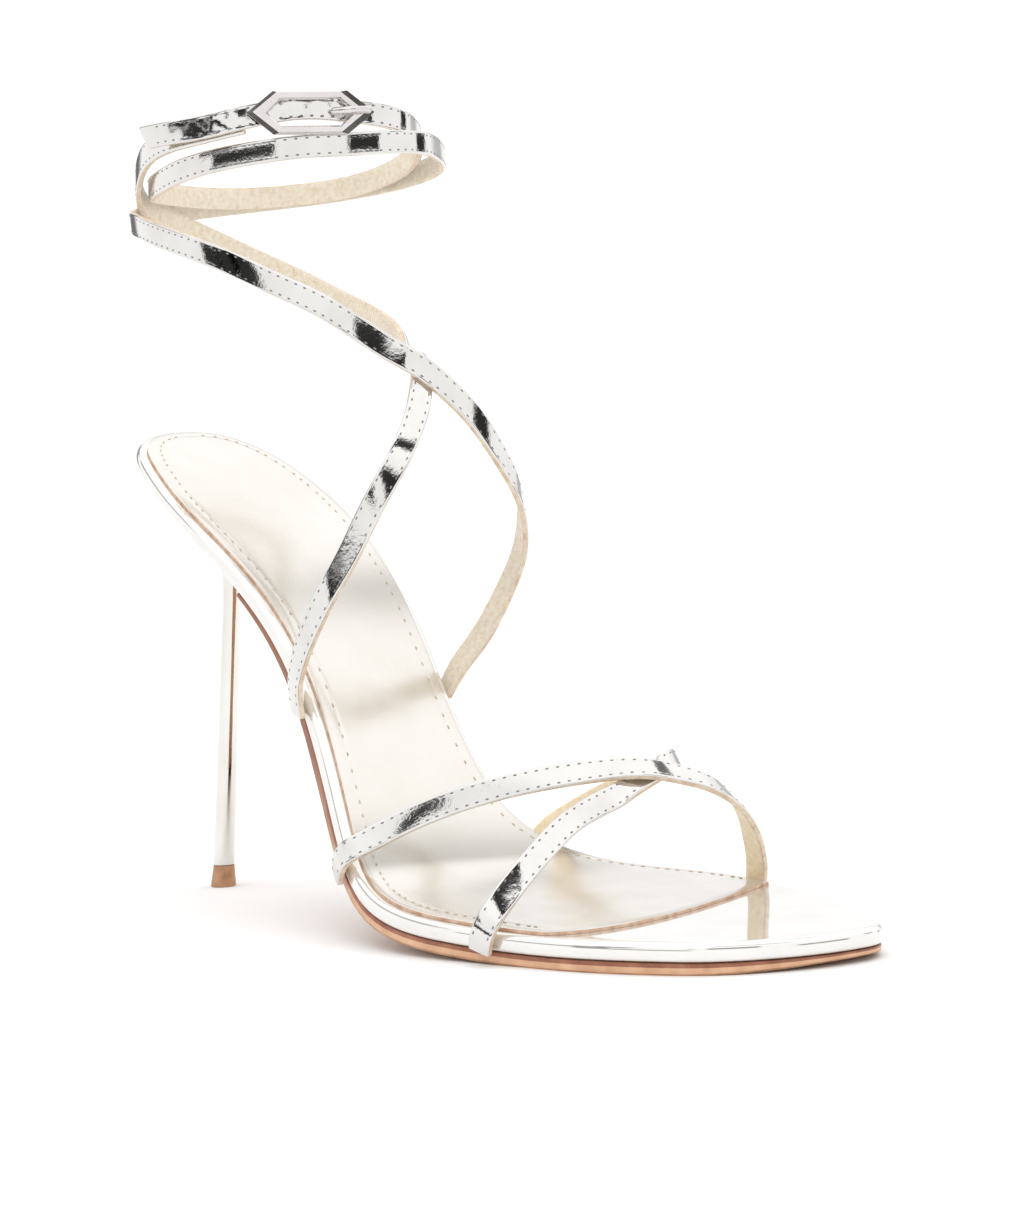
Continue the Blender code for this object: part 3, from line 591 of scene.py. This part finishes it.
def strap(name, frame, node, slant=0.0, creased=0.0):
    path, out, run = frame
    for k in range(36):
        if k < 10:
            path[1:-1] = 0.25 * path[:-2] + 0.5 * path[1:-1] + 0.25 * path[2:]
        out[1:-1] = unit(0.25 * out[:-2] + 0.5 * out[1:-1] + 0.25 * out[2:])
    along = unit(np.gradient(path, axis=0))
    out = unit(out - (out * along).sum(1, keepdims=True) * along)
    side = np.cross(out, along)
    # the stretch through the buckle is creased from being drawn tight
    left = run[-1] - run
    if creased:
        path = path + np.array([0.0, 0.0, 1.3]) * np.exp(-((left - 41.0) / 10.0) ** 2)[:, None]
    tight = creased * np.clip((left - 9.0) / 12.0, 0, 1) * np.clip((62.0 - left) / 10.0, 0, 1)
    half, thick = STRAP_WIDTH / 2, STRAP_THICK
    row = half - STITCH_INSET
    face = [(half, 1.12), (half - 0.05, 1.30), (half - 0.15, 1.41), (half - 0.32, 1.455), (row + 0.2, 1.47), (row, 1.47),
            (row - 0.2, 1.48), (row - 0.6, 1.49), (0.55, 1.498), (0.0, 1.5)]
    section = [(-half + 0.28, 0.0, 2), (-1.3, 0.04, 2), (0.0, 0.05, 2), (1.3, 0.04, 2), (half - 0.28, 0.0, 2),
               (half - 0.06, 0.10, 1), (half, 0.34, 1), (half, 0.72, 1)]
    section += [(s, o, 0) for s, o in face] + [(-s, o, 0) for s, o in face[-2::-1]]
    section[len(section) - 1] = (*section[-1][:2], 1)
    section += [(-half, 0.72, 1), (-half, 0.34, 1), (-half + 0.06, 0.10, 1)]
    mesh = Mesh()
    rings = []
    for i in range(len(path)):
        tail = np.clip(1.0 - (run[-1] - run[i]) / 3.0, 0.0, 1.0) * slant
        ring = []
        for s, o, zone in section:
            if zone == 0 and abs(s) < row + 0.3:
                o = o - tight[i] * (1.0 + 0.45 * math.sin(2 * math.pi * left[i] / 7.3 + 0.7 * s)
                                    + 0.35 * math.sin(2 * math.pi * left[i] / 4.7 - 1.1 * s + 0.8)
                                    + 0.20 * math.sin(2 * math.pi * left[i] / 3.1 + 1.7 * s + 2.1))
            ring.append(path[i] + side[i] * s + out[i] * o + along[i] * (tail * s / half))
        rings.append(mesh.add(ring))
    zones = [z for s, o, z in section]
    n = len(section)
    for a, b in zip(rings, rings[1:]):
        for k in range(n):
            q = (k + 1) % n
            mesh.face((a[k], a[q], b[q], b[k]), zones[k])
    mesh.face(rings[0][::-1], 1)
    mesh.face(rings[-1], 1)
    body = piece(name, mesh.verts, mesh.faces, [MIRROR, RAW_PALE, LINING_GOLD if node == "toe_straps" else LINING], mesh.mats, 46.0, (node,))
    # two rows of stitches
    stitches = Mesh()
    for k in range(1, int(run[-1] / STITCH_PITCH) - 1):
        for sign in (-1.0, 1.0):
            where = (k + 0.5) * STITCH_PITCH
            i = int(round(where / run[-1] * (len(path) - 1)))
            stitch(stitches, path[i] + side[i] * sign * row + out[i] * 1.44, along[i], side[i], out[i], 0.78, 0.24, 0.11)
    piece(name + "_stitches", stitches.verts, stitches.faces, [THREAD_AND_HOLE_SHADE], None, 60.0)
    return body


def stitch(mesh, centre, along, side, out, length, wide, high):
    """One short stitch: a capsule lying in the leather."""
    rings = []
    for place, grow in ((-0.5, 0.35), (-0.3, 0.95), (0.3, 0.95), (0.5, 0.35)):
        ring = []
        for k in range(6):
            turn = 2 * math.pi * k / 6
            ring.append(centre + along * place * length + side * math.cos(turn) * wide * grow + out * math.sin(turn) * high * grow)
        rings.append(mesh.add(ring))
    for a, b in zip(rings, rings[1:]):
        mesh.strip(a, b, True)
    mesh.face(rings[0][::-1])
    mesh.face(rings[-1])


STEP = STITCH_PITCH / 4
toe_over = strap_frame(TOE_OVER, TOE_TURN, (0, -1), STEP)
toe_under = tuck(*strap_frame(TOE_UNDER, NO_TURN, (0, -1), STEP), toe_over, TOE_CROSS)
ankle_over = strap_frame(ANKLE_OVER, OVER_TURN, (0,), STEP)
ankle_under = tuck(*strap_frame(ANKLE_UNDER, UNDER_TURN, (0,), STEP), ankle_over, ANKLE_CROSS)
strap("toe_strap_over", toe_over, "toe_straps")
strap("toe_strap_under", toe_under, "toe_straps")
strap("ankle_strap_over", ankle_over, "ankle_straps", slant=-1.5, creased=0.09)
strap("ankle_strap_under", ankle_under, "ankle_straps")


# ---------------------------------------------------------------- sole
def outline(rows, first=None, last=(None, None)):
    """Both edges cut to a stretch and resampled: points and inward directions."""
    cut = []
    for (p, inward), stop in zip(sole_edges(1200), last):
        keep = np.ones(len(p), bool)
        if first is not None:
            keep &= p[:, 0] >= first
        if stop is not None:
            keep &= p[:, 0] <= stop
        index = np.nonzero(keep)[0]
        s = run_length(p[index])
        want = np.linspace(0.0, s[-1], rows + 1)
        q = np.stack([np.interp(want, s, p[index][:, k]) for k in range(2)], 1)
        d = np.stack([np.interp(want, s, inward[index][:, k]) for k in range(2)], 1)
        cut.append((q, unit(d)))
    return cut


def place(points, heights):
    points = np.asarray(points, float)
    return on_last(points[:, 0], points[:, 1], np.asarray(heights, float))


def across(a, b, count):
    """Plan points from edge a to edge b, closer together near the edges."""
    f = 0.5 - 0.5 * np.cos(np.linspace(0.0, math.pi, count))
    return a[None, :] * (1 - f)[:, None] + b[None, :] * f[:, None]


# platform: a full loop round the edge, with rounded rims
ROW = 240
(lat, lat_in), (med, med_in) = outline(ROW)
loop = np.vstack([lat, med[-2:0:-1]])
loop_in = np.vstack([lat_in, med_in[-2:0:-1]])
loop_in[0] = (1.0, 0.0)
under = 1.0 + 1.3 * np.clip((62.0 - loop[:, 0]) / 40.0, 0.0, 1.0)      # the rim turns under further at the heel
# material 1 on the two lowest rows and on the underside is the painted joint shadow
wall = [  # inset, height, share that grows with the turn under, material
    (1.6, 0.0, 1, 1), (0.95, 0.02, 1, 1), (0.55, 0.12, 1, 0), (0.27, 0.30, 1, 0), (0.09, 0.56, 1, 0), (0.0, 0.9, 1, 0), (0.0, 2.3, 0, 0), (0.04, 2.75, 0, 0),
    (0.17, 3.15, 0, 0), (0.40, 3.5, 0, 0), (0.70, 3.76, 0, 0), (1.08, 3.93, 0, 0), (1.5, 3.99, 0, 0), (2.0, 4.0, 0, 0),
]
mesh = Mesh()
rings = []
for inset, height, grows, zone in wall:
    k = under if grows else np.ones_like(under)
    rings.append(mesh.add(place(loop + loop_in * (inset * k)[:, None], height * k)))
for (a, b), row in zip(zip(rings, rings[1:]), wall):
    mesh.strip(a, b, True, row[3])
for ring, (inset, height, grows, zone) in ((rings[0], wall[0]), (rings[-1], wall[-1])):
    k = under if grows else np.ones_like(under)
    edge = loop + loop_in * (inset * k)[:, None]
    rows = [[ring[0]] * 12]
    for i in range(1, ROW):
        j = len(loop) - i
        inner = across(edge[i], edge[j], 12)[1:-1]
        rows.append([ring[i], *mesh.add(place(inner, np.full(len(inner), height * k[i]))), ring[j]])
    rows.append([ring[ROW]] * 12)
    mesh.grid(rows, zone)
piece("platform_cover", mesh.verts, mesh.faces, [WALL, JOINT_SHADE], mesh.mats, 50.0, ("platform",))

# outsole: open at the heel breast, its edge in three tones, the lowest a painted shade along its bottom
ROW = 220
(lat, lat_in), (med, med_in) = outline(ROW, BREAST)
loop = np.vstack([lat, med[-2::-1]])
loop_in = np.vstack([lat_in, med_in[-2::-1]])


def sole_height(points, share):
    """Height of a point a share of the way down the outsole's edge."""
    return -0.12 - (GAP - 0.12 + OUTSOLE) * share * outsole_share(points[:, 0])


# material 3 on the lowest edge rows gives a painted shade band along the bottom of the edge
edge_rows = [  # inset, share of the way down, material
    (1.5, 0.0, 2), (0.75, 0.0, 0), (0.55, 0.08, 0), (0.50, 0.25, 0), (0.50, 0.34, 1), (0.50, 0.60, 1), (0.52, 0.78, 3), (0.66, 0.92, 3), (1.0, 1.0, 2), (1.8, 1.0, 2),
]
mesh = Mesh()


def on_floor(points):
    points[:, 2] = np.maximum(points[:, 2], 0.0)
    return points


rings = []
for inset, share, zone in edge_rows:
    q = loop + loop_in * inset
    rings.append(mesh.add(on_floor(place(q, sole_height(q, share)))))
for (a, b), row in zip(zip(rings, rings[1:]), edge_rows):
    mesh.strip(a, b, False, row[2])
caps = []
for ring, (inset, share, zone) in ((rings[0], edge_rows[0]), (rings[-1], edge_rows[-1])):
    q = loop + loop_in * inset
    rows = []
    for i in range(ROW):
        j = len(loop) - 1 - i
        inner = across(q[i], q[j], 12)[1:-1]
        rows.append([ring[i], *mesh.add(on_floor(place(inner, sole_height(inner, share)))), ring[j]])
    rows.append([ring[ROW]] * 12)
    mesh.grid(rows, 2)
    caps.append(rows[0])
mesh.face([*[r[0] for r in rings[:-1]], *caps[1], *[r[-1] for r in rings[-2::-1]], *caps[0][-2:0:-1]], 2)
outsole = piece("outsole_leather", mesh.verts, mesh.faces, [SOLE_BROWN, SOLE_TAN, SOLE_FACE, LIFT], mesh.mats, 50.0, ("outsole",))

# painted shade: the outsole's tan edge is darkened towards the waist, where it lies in shade
at = plan_of(outsole)
paint_shade(outsole, SOLE_TAN, 0.85 * np.clip((122.0 - at[:, 0]) / 34.0, 0.0, 1.0), (0.20, 0.075, 0.045))

# sock: a crowned pad with a sewn channel near its edge
ROW, COL = 210, 96
(lat, lat_in), (med, med_in) = outline(ROW, None, (SOCK_END["lateral"], SOCK_END["medial"]))
lat, med = lat + lat_in * SOCK_INSET, med + med_in * SOCK_INSET
lat[0] = med[0] = 0.5 * (lat[0] + med[0])
plan = []
for i in range(ROW + 1):
    f = 0.5 - 0.5 * np.cos(np.linspace(0.0, math.pi, COL))
    ahead = np.clip((i - 0.72 * ROW) / (0.28 * ROW), 0, 1) ** 1.5 * SOCK_BULGE
    q = lat[i][None] * (1 - f)[:, None] + med[i][None] * f[:, None]
    q[:, 0] += ahead * np.sin(math.pi * f ** 0.62)
    plan.append(q)
plan = np.array(plan)
sides = np.vstack([lat[::-1], med[1:]])
front = plan[-1]


def from_line(points, line):
    best = np.full(len(points), 1e9)
    for a, b in zip(line[:-1], line[1:]):
        ab = b - a
        t = np.clip(((points - a) @ ab) / (ab @ ab + 1e-9), 0, 1)
        best = np.minimum(best, np.linalg.norm(points - a - t[:, None] * ab, axis=1))
    return best


flat_plan = plan.reshape(-1, 2)
to_side, to_front = from_line(flat_plan, sides[::2]), from_line(flat_plan, front[::3])
low = PLATFORM + 0.04
SOCK_CHANNEL = 3.0


def sock_height(to_side, to_front):
    near = np.minimum(to_side, to_front)
    skin = 0.62 + 0.32 * (1 - np.exp(-near / 0.6))
    pad = 0.62 * (1 - np.exp(-to_side / 11.0)) * (1 - np.exp(-to_front / 16.0))
    channel = 0.10 * np.exp(-((to_side - SOCK_CHANNEL) / 0.5) ** 2) * np.clip(to_front / 4.0, 0, 1)
    return low + skin + pad - channel


mesh = Mesh()
top = mesh.add(place(flat_plan, sock_height(to_side, to_front))).reshape(ROW + 1, COL)
base = mesh.add(place(flat_plan, np.full(len(flat_plan), low))).reshape(ROW + 1, COL)
mesh.grid(list(top), 0)
mesh.grid(list(base), 1)
for a, b in ((top[:, 0], base[:, 0]), (top[:, -1], base[:, -1]), (top[-1], base[-1]), (top[0], base[0])):
    mesh.strip(a, b, False, 1)
sock = piece("sock_pad", mesh.verts, mesh.faces, [SOCK_TOP, RAW], mesh.mats, 50.0, ("sock",))

# painted shade: the sock is darkened where the waist and the ball bend, in place of the darker reflections there
at = plan_of(sock)
inner_side = np.clip((at[:, 1] + 14.0) / 22.0, 0.0, 1.0)
waist = np.exp(-((at[:, 0] - 68.0) / 6.5) ** 2) * (0.5 + 0.5 * inner_side)
behind = at[:, 0] - (119.5 + 0.13 * at[:, 1])
bend = np.exp(-(behind / np.where(behind < 0.0, 8.0, 2.4)) ** 2)
paint_shade(sock, SOCK_TOP, 0.36 * waist + 0.42 * bend, (0.08, 0.07, 0.048))
stitches = Mesh()
for edge, inward in zip((lat, med), (lat_in, med_in)):
    line = edge + inward * SOCK_CHANNEL
    s = run_length(line)
    for where in np.arange(4.0, s[-1] - 3.0, 2.7):
        i = int(np.clip(np.searchsorted(s, where), 1, ROW - 1))
        h = low + 1.02
        a, b = place(line[i - 1:i + 2:2], np.full(2, h))
        centre = place(line[i:i + 1], np.full(1, h))[0]
        along = unit(b - a)
        up = unit(place(line[i:i + 1], np.full(1, h + 1.0))[0] - centre)
        side = unit(np.cross(up, along))
        stitch(stitches, centre, along, side, up, 1.0, 0.2, 0.16)
piece("sock_stitches", stitches.verts, stitches.faces, [SOCK_THREAD], None, 60.0)

# ---------------------------------------------------------------- heel
head = np.array(PIN_HEAD)
foot = np.array([PIN_FOOT[0], PIN_FOOT[1], 0.0])


def pin_centre(up):
    return foot + (head - foot) * (up / head[2])


def circle(centre, radius_a, radius_b, count, lift=None):
    turn = np.linspace(0.0, 2 * math.pi, count, endpoint=False)
    x, y = centre[0] + radius_a * np.cos(turn), centre[1] + radius_b * np.sin(turn)
    return np.stack([x, y, np.full(count, centre[2]) if lift is None else lift(x)], 1)


AROUND = 64
pin_low = LIFT_HEIGHT + 0.02
mesh = Mesh()
rings = [mesh.add(circle(pin_centre(pin_low + 0.12), PIN_RADIUS["bottom"] - 0.12, PIN_RADIUS["bottom"] - 0.12, AROUND))]
for z in np.linspace(pin_low + 0.22, head[2], 40):
    r = PIN_RADIUS["bottom"] + (PIN_RADIUS["top"] - PIN_RADIUS["bottom"]) * (z - pin_low) / (head[2] - pin_low)
    rings.append(mesh.add(circle(pin_centre(z), r, r, AROUND)))
seat_centre = pin_centre(86.0)
for k in range(1, 31):
    f = k / 30
    spread = f ** 3.2
    centre = head + (seat_centre - head) * f
    half = [PIN_RADIUS["top"] + (w - PIN_RADIUS["top"]) * spread for w in FLARE]
    rings.append(mesh.add(circle(centre, half[0], half[1], AROUND,
                                 lambda x, level=centre[2], f=f: level * (1 - f ** 2) + (rise(x) - 0.05) * f ** 2)))
for a, b in zip(rings, rings[1:]):
    mesh.strip(a, b, True)
mesh.face(rings[0][::-1])
mesh.face(rings[-1])
piece("heel_pin", mesh.verts, mesh.faces, [PIN], None, 50.0, ("heel",))

mesh = Mesh()
rings = []
for z, r in ((0.0, 2.85), (0.08, 3.0), (0.3, 3.05), (1.1, 2.98), (2.4, 2.84), (2.46, 2.80), (2.52, 2.82), (4.2, 2.66), (5.0, 2.6), (5.14, 2.54), (5.2, 2.4)):
    rings.append(mesh.add(circle(pin_centre(z), r, r, AROUND)))
for a, b in zip(rings, rings[1:]):
    mesh.strip(a, b, True)
mesh.face(rings[0][::-1])
mesh.face(rings[-1])
piece("heel_tip", mesh.verts, mesh.faces, [LIFT], None, 40.0, ("heel_lift",))


# ---------------------------------------------------------------- buckle
def hexagon(length, height, corner):
    half, bar = length / 2, length / 2 - corner
    return np.array([(-half, 0), (-bar, -height / 2), (bar, -height / 2), (half, 0), (bar, height / 2), (-bar, height / 2)], float)


def buckle_place(along, up, out):
    turn, roll = math.radians(BUCKLE_TURN), math.radians(BUCKLE_ROLL)
    a = along * math.cos(roll) - up * math.sin(roll)
    b = along * math.sin(roll) + up * math.cos(roll)
    face = np.array([math.cos(turn), math.sin(turn), 0.0])
    run = np.array([-math.sin(turn), math.cos(turn), 0.0])
    return np.array(BUCKLE_CENTRE) + run * a + np.array([0, 0, b]) + face * out


def inset_polygon(points, distance):
    """Polygon with each side moved in by a distance, one for all or one each."""
    n = len(points)
    move = np.broadcast_to(np.asarray(distance, float), (n,))
    run = [unit(points[(k + 1) % n] - points[k]) for k in range(n)]
    start = [points[k] + np.array([-run[k][1], run[k][0]]) * move[k] for k in range(n)]
    out = []
    for k in range(n):
        u, v = run[k - 1], run[k]
        t = np.linalg.solve(np.column_stack([u, -v]), start[k] - start[k - 1])[0]
        out.append(start[k - 1] + u * t)
    return np.array(out)


frame_outer = hexagon(BUCKLE_LENGTH, BUCKLE_HEIGHT, BUCKLE_CORNER)
frame_inner = hexagon(BUCKLE_LENGTH - 2 * BUCKLE_END, BUCKLE_HEIGHT - 2 * BUCKLE_WALL, BUCKLE_WINDOW_CORNER)
BEVEL = np.array([0.95, 0.34, 1.25, 1.25, 0.34, 0.75])     # side by side, from the lower left; wide at the points
mesh = Mesh()
rings = []
for outline_points, move, out in (
        (frame_outer, 0.12, 0.0), (frame_outer, 0.0, 0.12), (frame_outer, 0.0, 0.6), (frame_outer, BEVEL, 1.56), (frame_outer, BEVEL + 0.12, BUCKLE_THICK),
        (frame_inner, -0.42, BUCKLE_THICK), (frame_inner, -0.36, 1.66), (frame_inner, -0.12, 1.38), (frame_inner, 0.0, 0.95), (frame_inner, 0.0, 0.1), (frame_inner, -0.1, 0.0)):
    shape = inset_polygon(outline_points, move)
    rings.append(mesh.add([buckle_place(a, b, out) for a, b in shape]))
# four facets of the outer bevel take the near-black copy, a painted dark reflection
for row, (a, b) in enumerate(zip(rings, rings[1:] + rings[:1])):
    for k in range(6):
        q = (k + 1) % 6
        mesh.face((a[k], a[q], b[q], b[k]), 1 if row == 2 and k in (0, 2, 3, 5) else 0)
piece("buckle_hexagon", mesh.verts, mesh.faces, [METAL, METAL_PAINTED_SHADE], mesh.mats, 12.0, ("buckle_frame",))

prong_line = np.array([buckle_place(a, 0.3, o) for a, o in ((4.6, 0.35), (6.6, 1.6), (8.8, 2.9), (11.0, 2.95), (13.4, 2.95))])
path = even(prong_line, 0.25)
along = unit(np.gradient(path, axis=0))
up = np.array([0.0, 0.0, 1.0])
mesh = Mesh()
rings = []
for i in range(len(path)):
    end = min(i, len(path) - 1 - i) * 0.25
    r = PRONG_RADIUS * math.sqrt(max(0.05, 1 - max(0.0, 1 - end / 0.7) ** 2))
    side = unit(np.cross(up, along[i]))
    top = np.cross(along[i], side)
    rings.append(mesh.add([path[i] + side * r * math.cos(t) + top * r * math.sin(t) for t in np.linspace(0, 2 * math.pi, 20, endpoint=False)]))
for a, b in zip(rings, rings[1:]):
    mesh.strip(a, b, True)
mesh.face(rings[0][::-1])
mesh.face(rings[-1])
piece("buckle_pin", mesh.verts, mesh.faces, [METAL], None, 50.0, ("buckle_prong",))

# ---------------------------------------------------------------- studio
floor_mat, tree, shader = new_material("floor")
tone = colour_ramp(tree, noise(tree, 3.0, 2.0), [(0.3, (0.845, 0.845, 0.845)), (0.7, (0.865, 0.865, 0.865))])
tree.links.new(tone, shader.inputs["Base Color"])
set_inputs(shader, Roughness=0.9, Specular_IOR_Level=0.0)
FLOOR_REACH = 6.0
floor_mesh = bpy.data.meshes.new("floor")
floor_mesh.from_pydata([(x * FLOOR_REACH, y * FLOOR_REACH, 0.0) for x, y in ((-1, -1), (1, -1), (1, 1), (-1, 1))], [], [(0, 1, 2, 3)])
floor_mesh.materials.append(floor_mat)
floor = bpy.data.objects.new("floor", floor_mesh)
bpy.context.scene.collection.objects.link(floor)

# a white tent with dark gaps between its panels, which the mirror leather reflects
TENT = 1.2
GAPS = [  # azimuth, elevation, half width, half height, softness, how dark
    (-112, 10, 6, 3.5, 1.5, 0.97),
    (-101, 13, 7, 5.5, 1.5, 0.97),
    (-94, 20, 6, 5.5, 1.5, 0.97),
    (-87, 4, 20, 3.0, 1.5, 0.97),
    (-67, 17.3, 2.6, 3, 1, 0.95),
    (-41, 19.5, 14, 8, 1.5, 0.97),
    (-31, 47.5, 17, 3.5, 1.5, 0.97),
    (6, 5, 15, 4, 1.5, 0.97),
    (50, 19, 9, 3.5, 1.5, 0.97),
    (85, 4.5, 6.5, 3.5, 1.5, 0.97),
    (91, 69, 3.5, 5, 2, 0.85),
    (166, 12, 9, 20, 4, 0.82),
    (112, 6, 8, 12, 4, 0.45),
    (139, 6, 26, 7, 4, 0.10),
    (138, 25, 20, 4, 3, 0.4),
    (-150, 28, 22, 7, 4, 0.75),
]
world = bpy.data.worlds.new("tent")
world.use_nodes = True
bpy.context.scene.world = world
tree = world.node_tree
back = tree.nodes["Background"]
coords = tree.nodes.new("ShaderNodeTexCoord")


def dot(direction):
    node = tree.nodes.new("ShaderNodeVectorMath")
    node.operation = "DOT_PRODUCT"
    node.inputs[1].default_value = direction
    tree.links.new(coords.outputs["Generated"], node.inputs[0])
    return node.outputs["Value"]


def math_node(kind, a, b=None):
    node = tree.nodes.new("ShaderNodeMath")
    node.operation = kind
    for socket, value in zip(node.inputs, (a, b)):
        if value is None:
            continue
        if isinstance(value, (int, float)):
            socket.default_value = value
        else:
            tree.links.new(value, socket)
    return node.outputs[0]


def within(value, limit, soft):
    node = tree.nodes.new("ShaderNodeMapRange")
    node.interpolation_type = "SMOOTHSTEP"
    node.inputs["From Min"].default_value = limit - soft
    node.inputs["From Max"].default_value = limit + soft
    node.inputs["To Min"].default_value = 1.0
    node.inputs["To Max"].default_value = 0.0
    tree.links.new(value, node.inputs["Value"])
    return node.outputs["Result"]


overhead = tree.nodes.new("ShaderNodeMapRange")
overhead.interpolation_type = "SMOOTHSTEP"
overhead.inputs["From Min"].default_value, overhead.inputs["From Max"].default_value = 0.40, 0.68
overhead.inputs["To Min"].default_value, overhead.inputs["To Max"].default_value = 1.0, 1.16
tree.links.new(dot((0.0, 0.0, 1.0)), overhead.inputs["Value"])
light = overhead.outputs["Result"]
for azimuth, elevation, wide, high, soft, dark in GAPS:
    a, e = math.radians(azimuth), math.radians(elevation)
    ahead = (math.cos(a) * math.cos(e), math.sin(a) * math.cos(e), math.sin(e))
    aside = (-math.sin(a), math.cos(a), 0.0)
    upward = (-math.cos(a) * math.sin(e), -math.sin(a) * math.sin(e), math.cos(e))
    s = math.radians(soft)
    mask = math_node("MULTIPLY", within(math_node("ABSOLUTE", dot(aside)), math.sin(math.radians(wide)), s),
                     within(math_node("ABSOLUTE", dot(upward)), math.sin(math.radians(high)), s))
    mask = math_node("MULTIPLY", mask, math_node("GREATER_THAN", dot(ahead), 0.0))
    light = math_node("MULTIPLY", light, math_node("SUBTRACT", 1.0, math_node("MULTIPLY", mask, dark)))
path_node = tree.nodes.new("ShaderNodeLightPath")
light = math_node("MAXIMUM", math_node("MULTIPLY", light, TENT), path_node.outputs["Is Camera Ray"])
light = math_node("MAXIMUM", light, math_node("MULTIPLY", path_node.outputs["Is Diffuse Ray"], 1.14))
tree.links.new(light, back.inputs["Strength"])
back.inputs["Color"].default_value = (1.0, 1.0, 1.0, 1.0)

lamp = bpy.data.lights.new("top_panel", "AREA")
lamp.shape = "RECTANGLE"
lamp.size, lamp.size_y, lamp.energy = 1.3, 1.3, 4.0
top_panel = bpy.data.objects.new("top_panel", lamp)
top_panel.location = (-0.1, 0.1, 1.5)
top_panel.visible_glossy = False
bpy.context.scene.collection.objects.link(top_panel)

# ---------------------------------------------------------------- camera
CAMERA = {"azimuth": 50.01628, "elevation": 3.72564, "roll": -2.79468, "distance": 718.78665, "focal_px": 3149.908, "target": (101.12986, 24.26383, 65.62392)}
a, e, r = (math.radians(CAMERA[k]) for k in ("azimuth", "elevation", "roll"))
back_axis = np.array([math.sin(a) * math.cos(e), -math.cos(a) * math.cos(e), math.sin(e)])
right = unit(np.cross([0.0, 0.0, 1.0], back_axis))
up = np.cross(back_axis, right)
right, up = math.cos(r) * right + math.sin(r) * up, -math.sin(r) * right + math.cos(r) * up
where = to_world(np.array(CAMERA["target"]) + back_axis * CAMERA["distance"])
lens = bpy.data.cameras.new("camera")
lens.sensor_width = 36.0
lens.lens = CAMERA["focal_px"] * 36.0 / 1231.0
lens.clip_start, lens.clip_end = 0.01, 50.0
camera = bpy.data.objects.new("camera", lens)
camera.matrix_world = Matrix((
    (right[0], up[0], back_axis[0], where[0]), (right[1], up[1], back_axis[1], where[1]),
    (right[2], up[2], back_axis[2], where[2]), (0.0, 0.0, 0.0, 1.0)))
bpy.context.scene.collection.objects.link(camera)
bpy.context.scene.camera = camera
bpy.context.scene.view_settings.view_transform = "Standard"
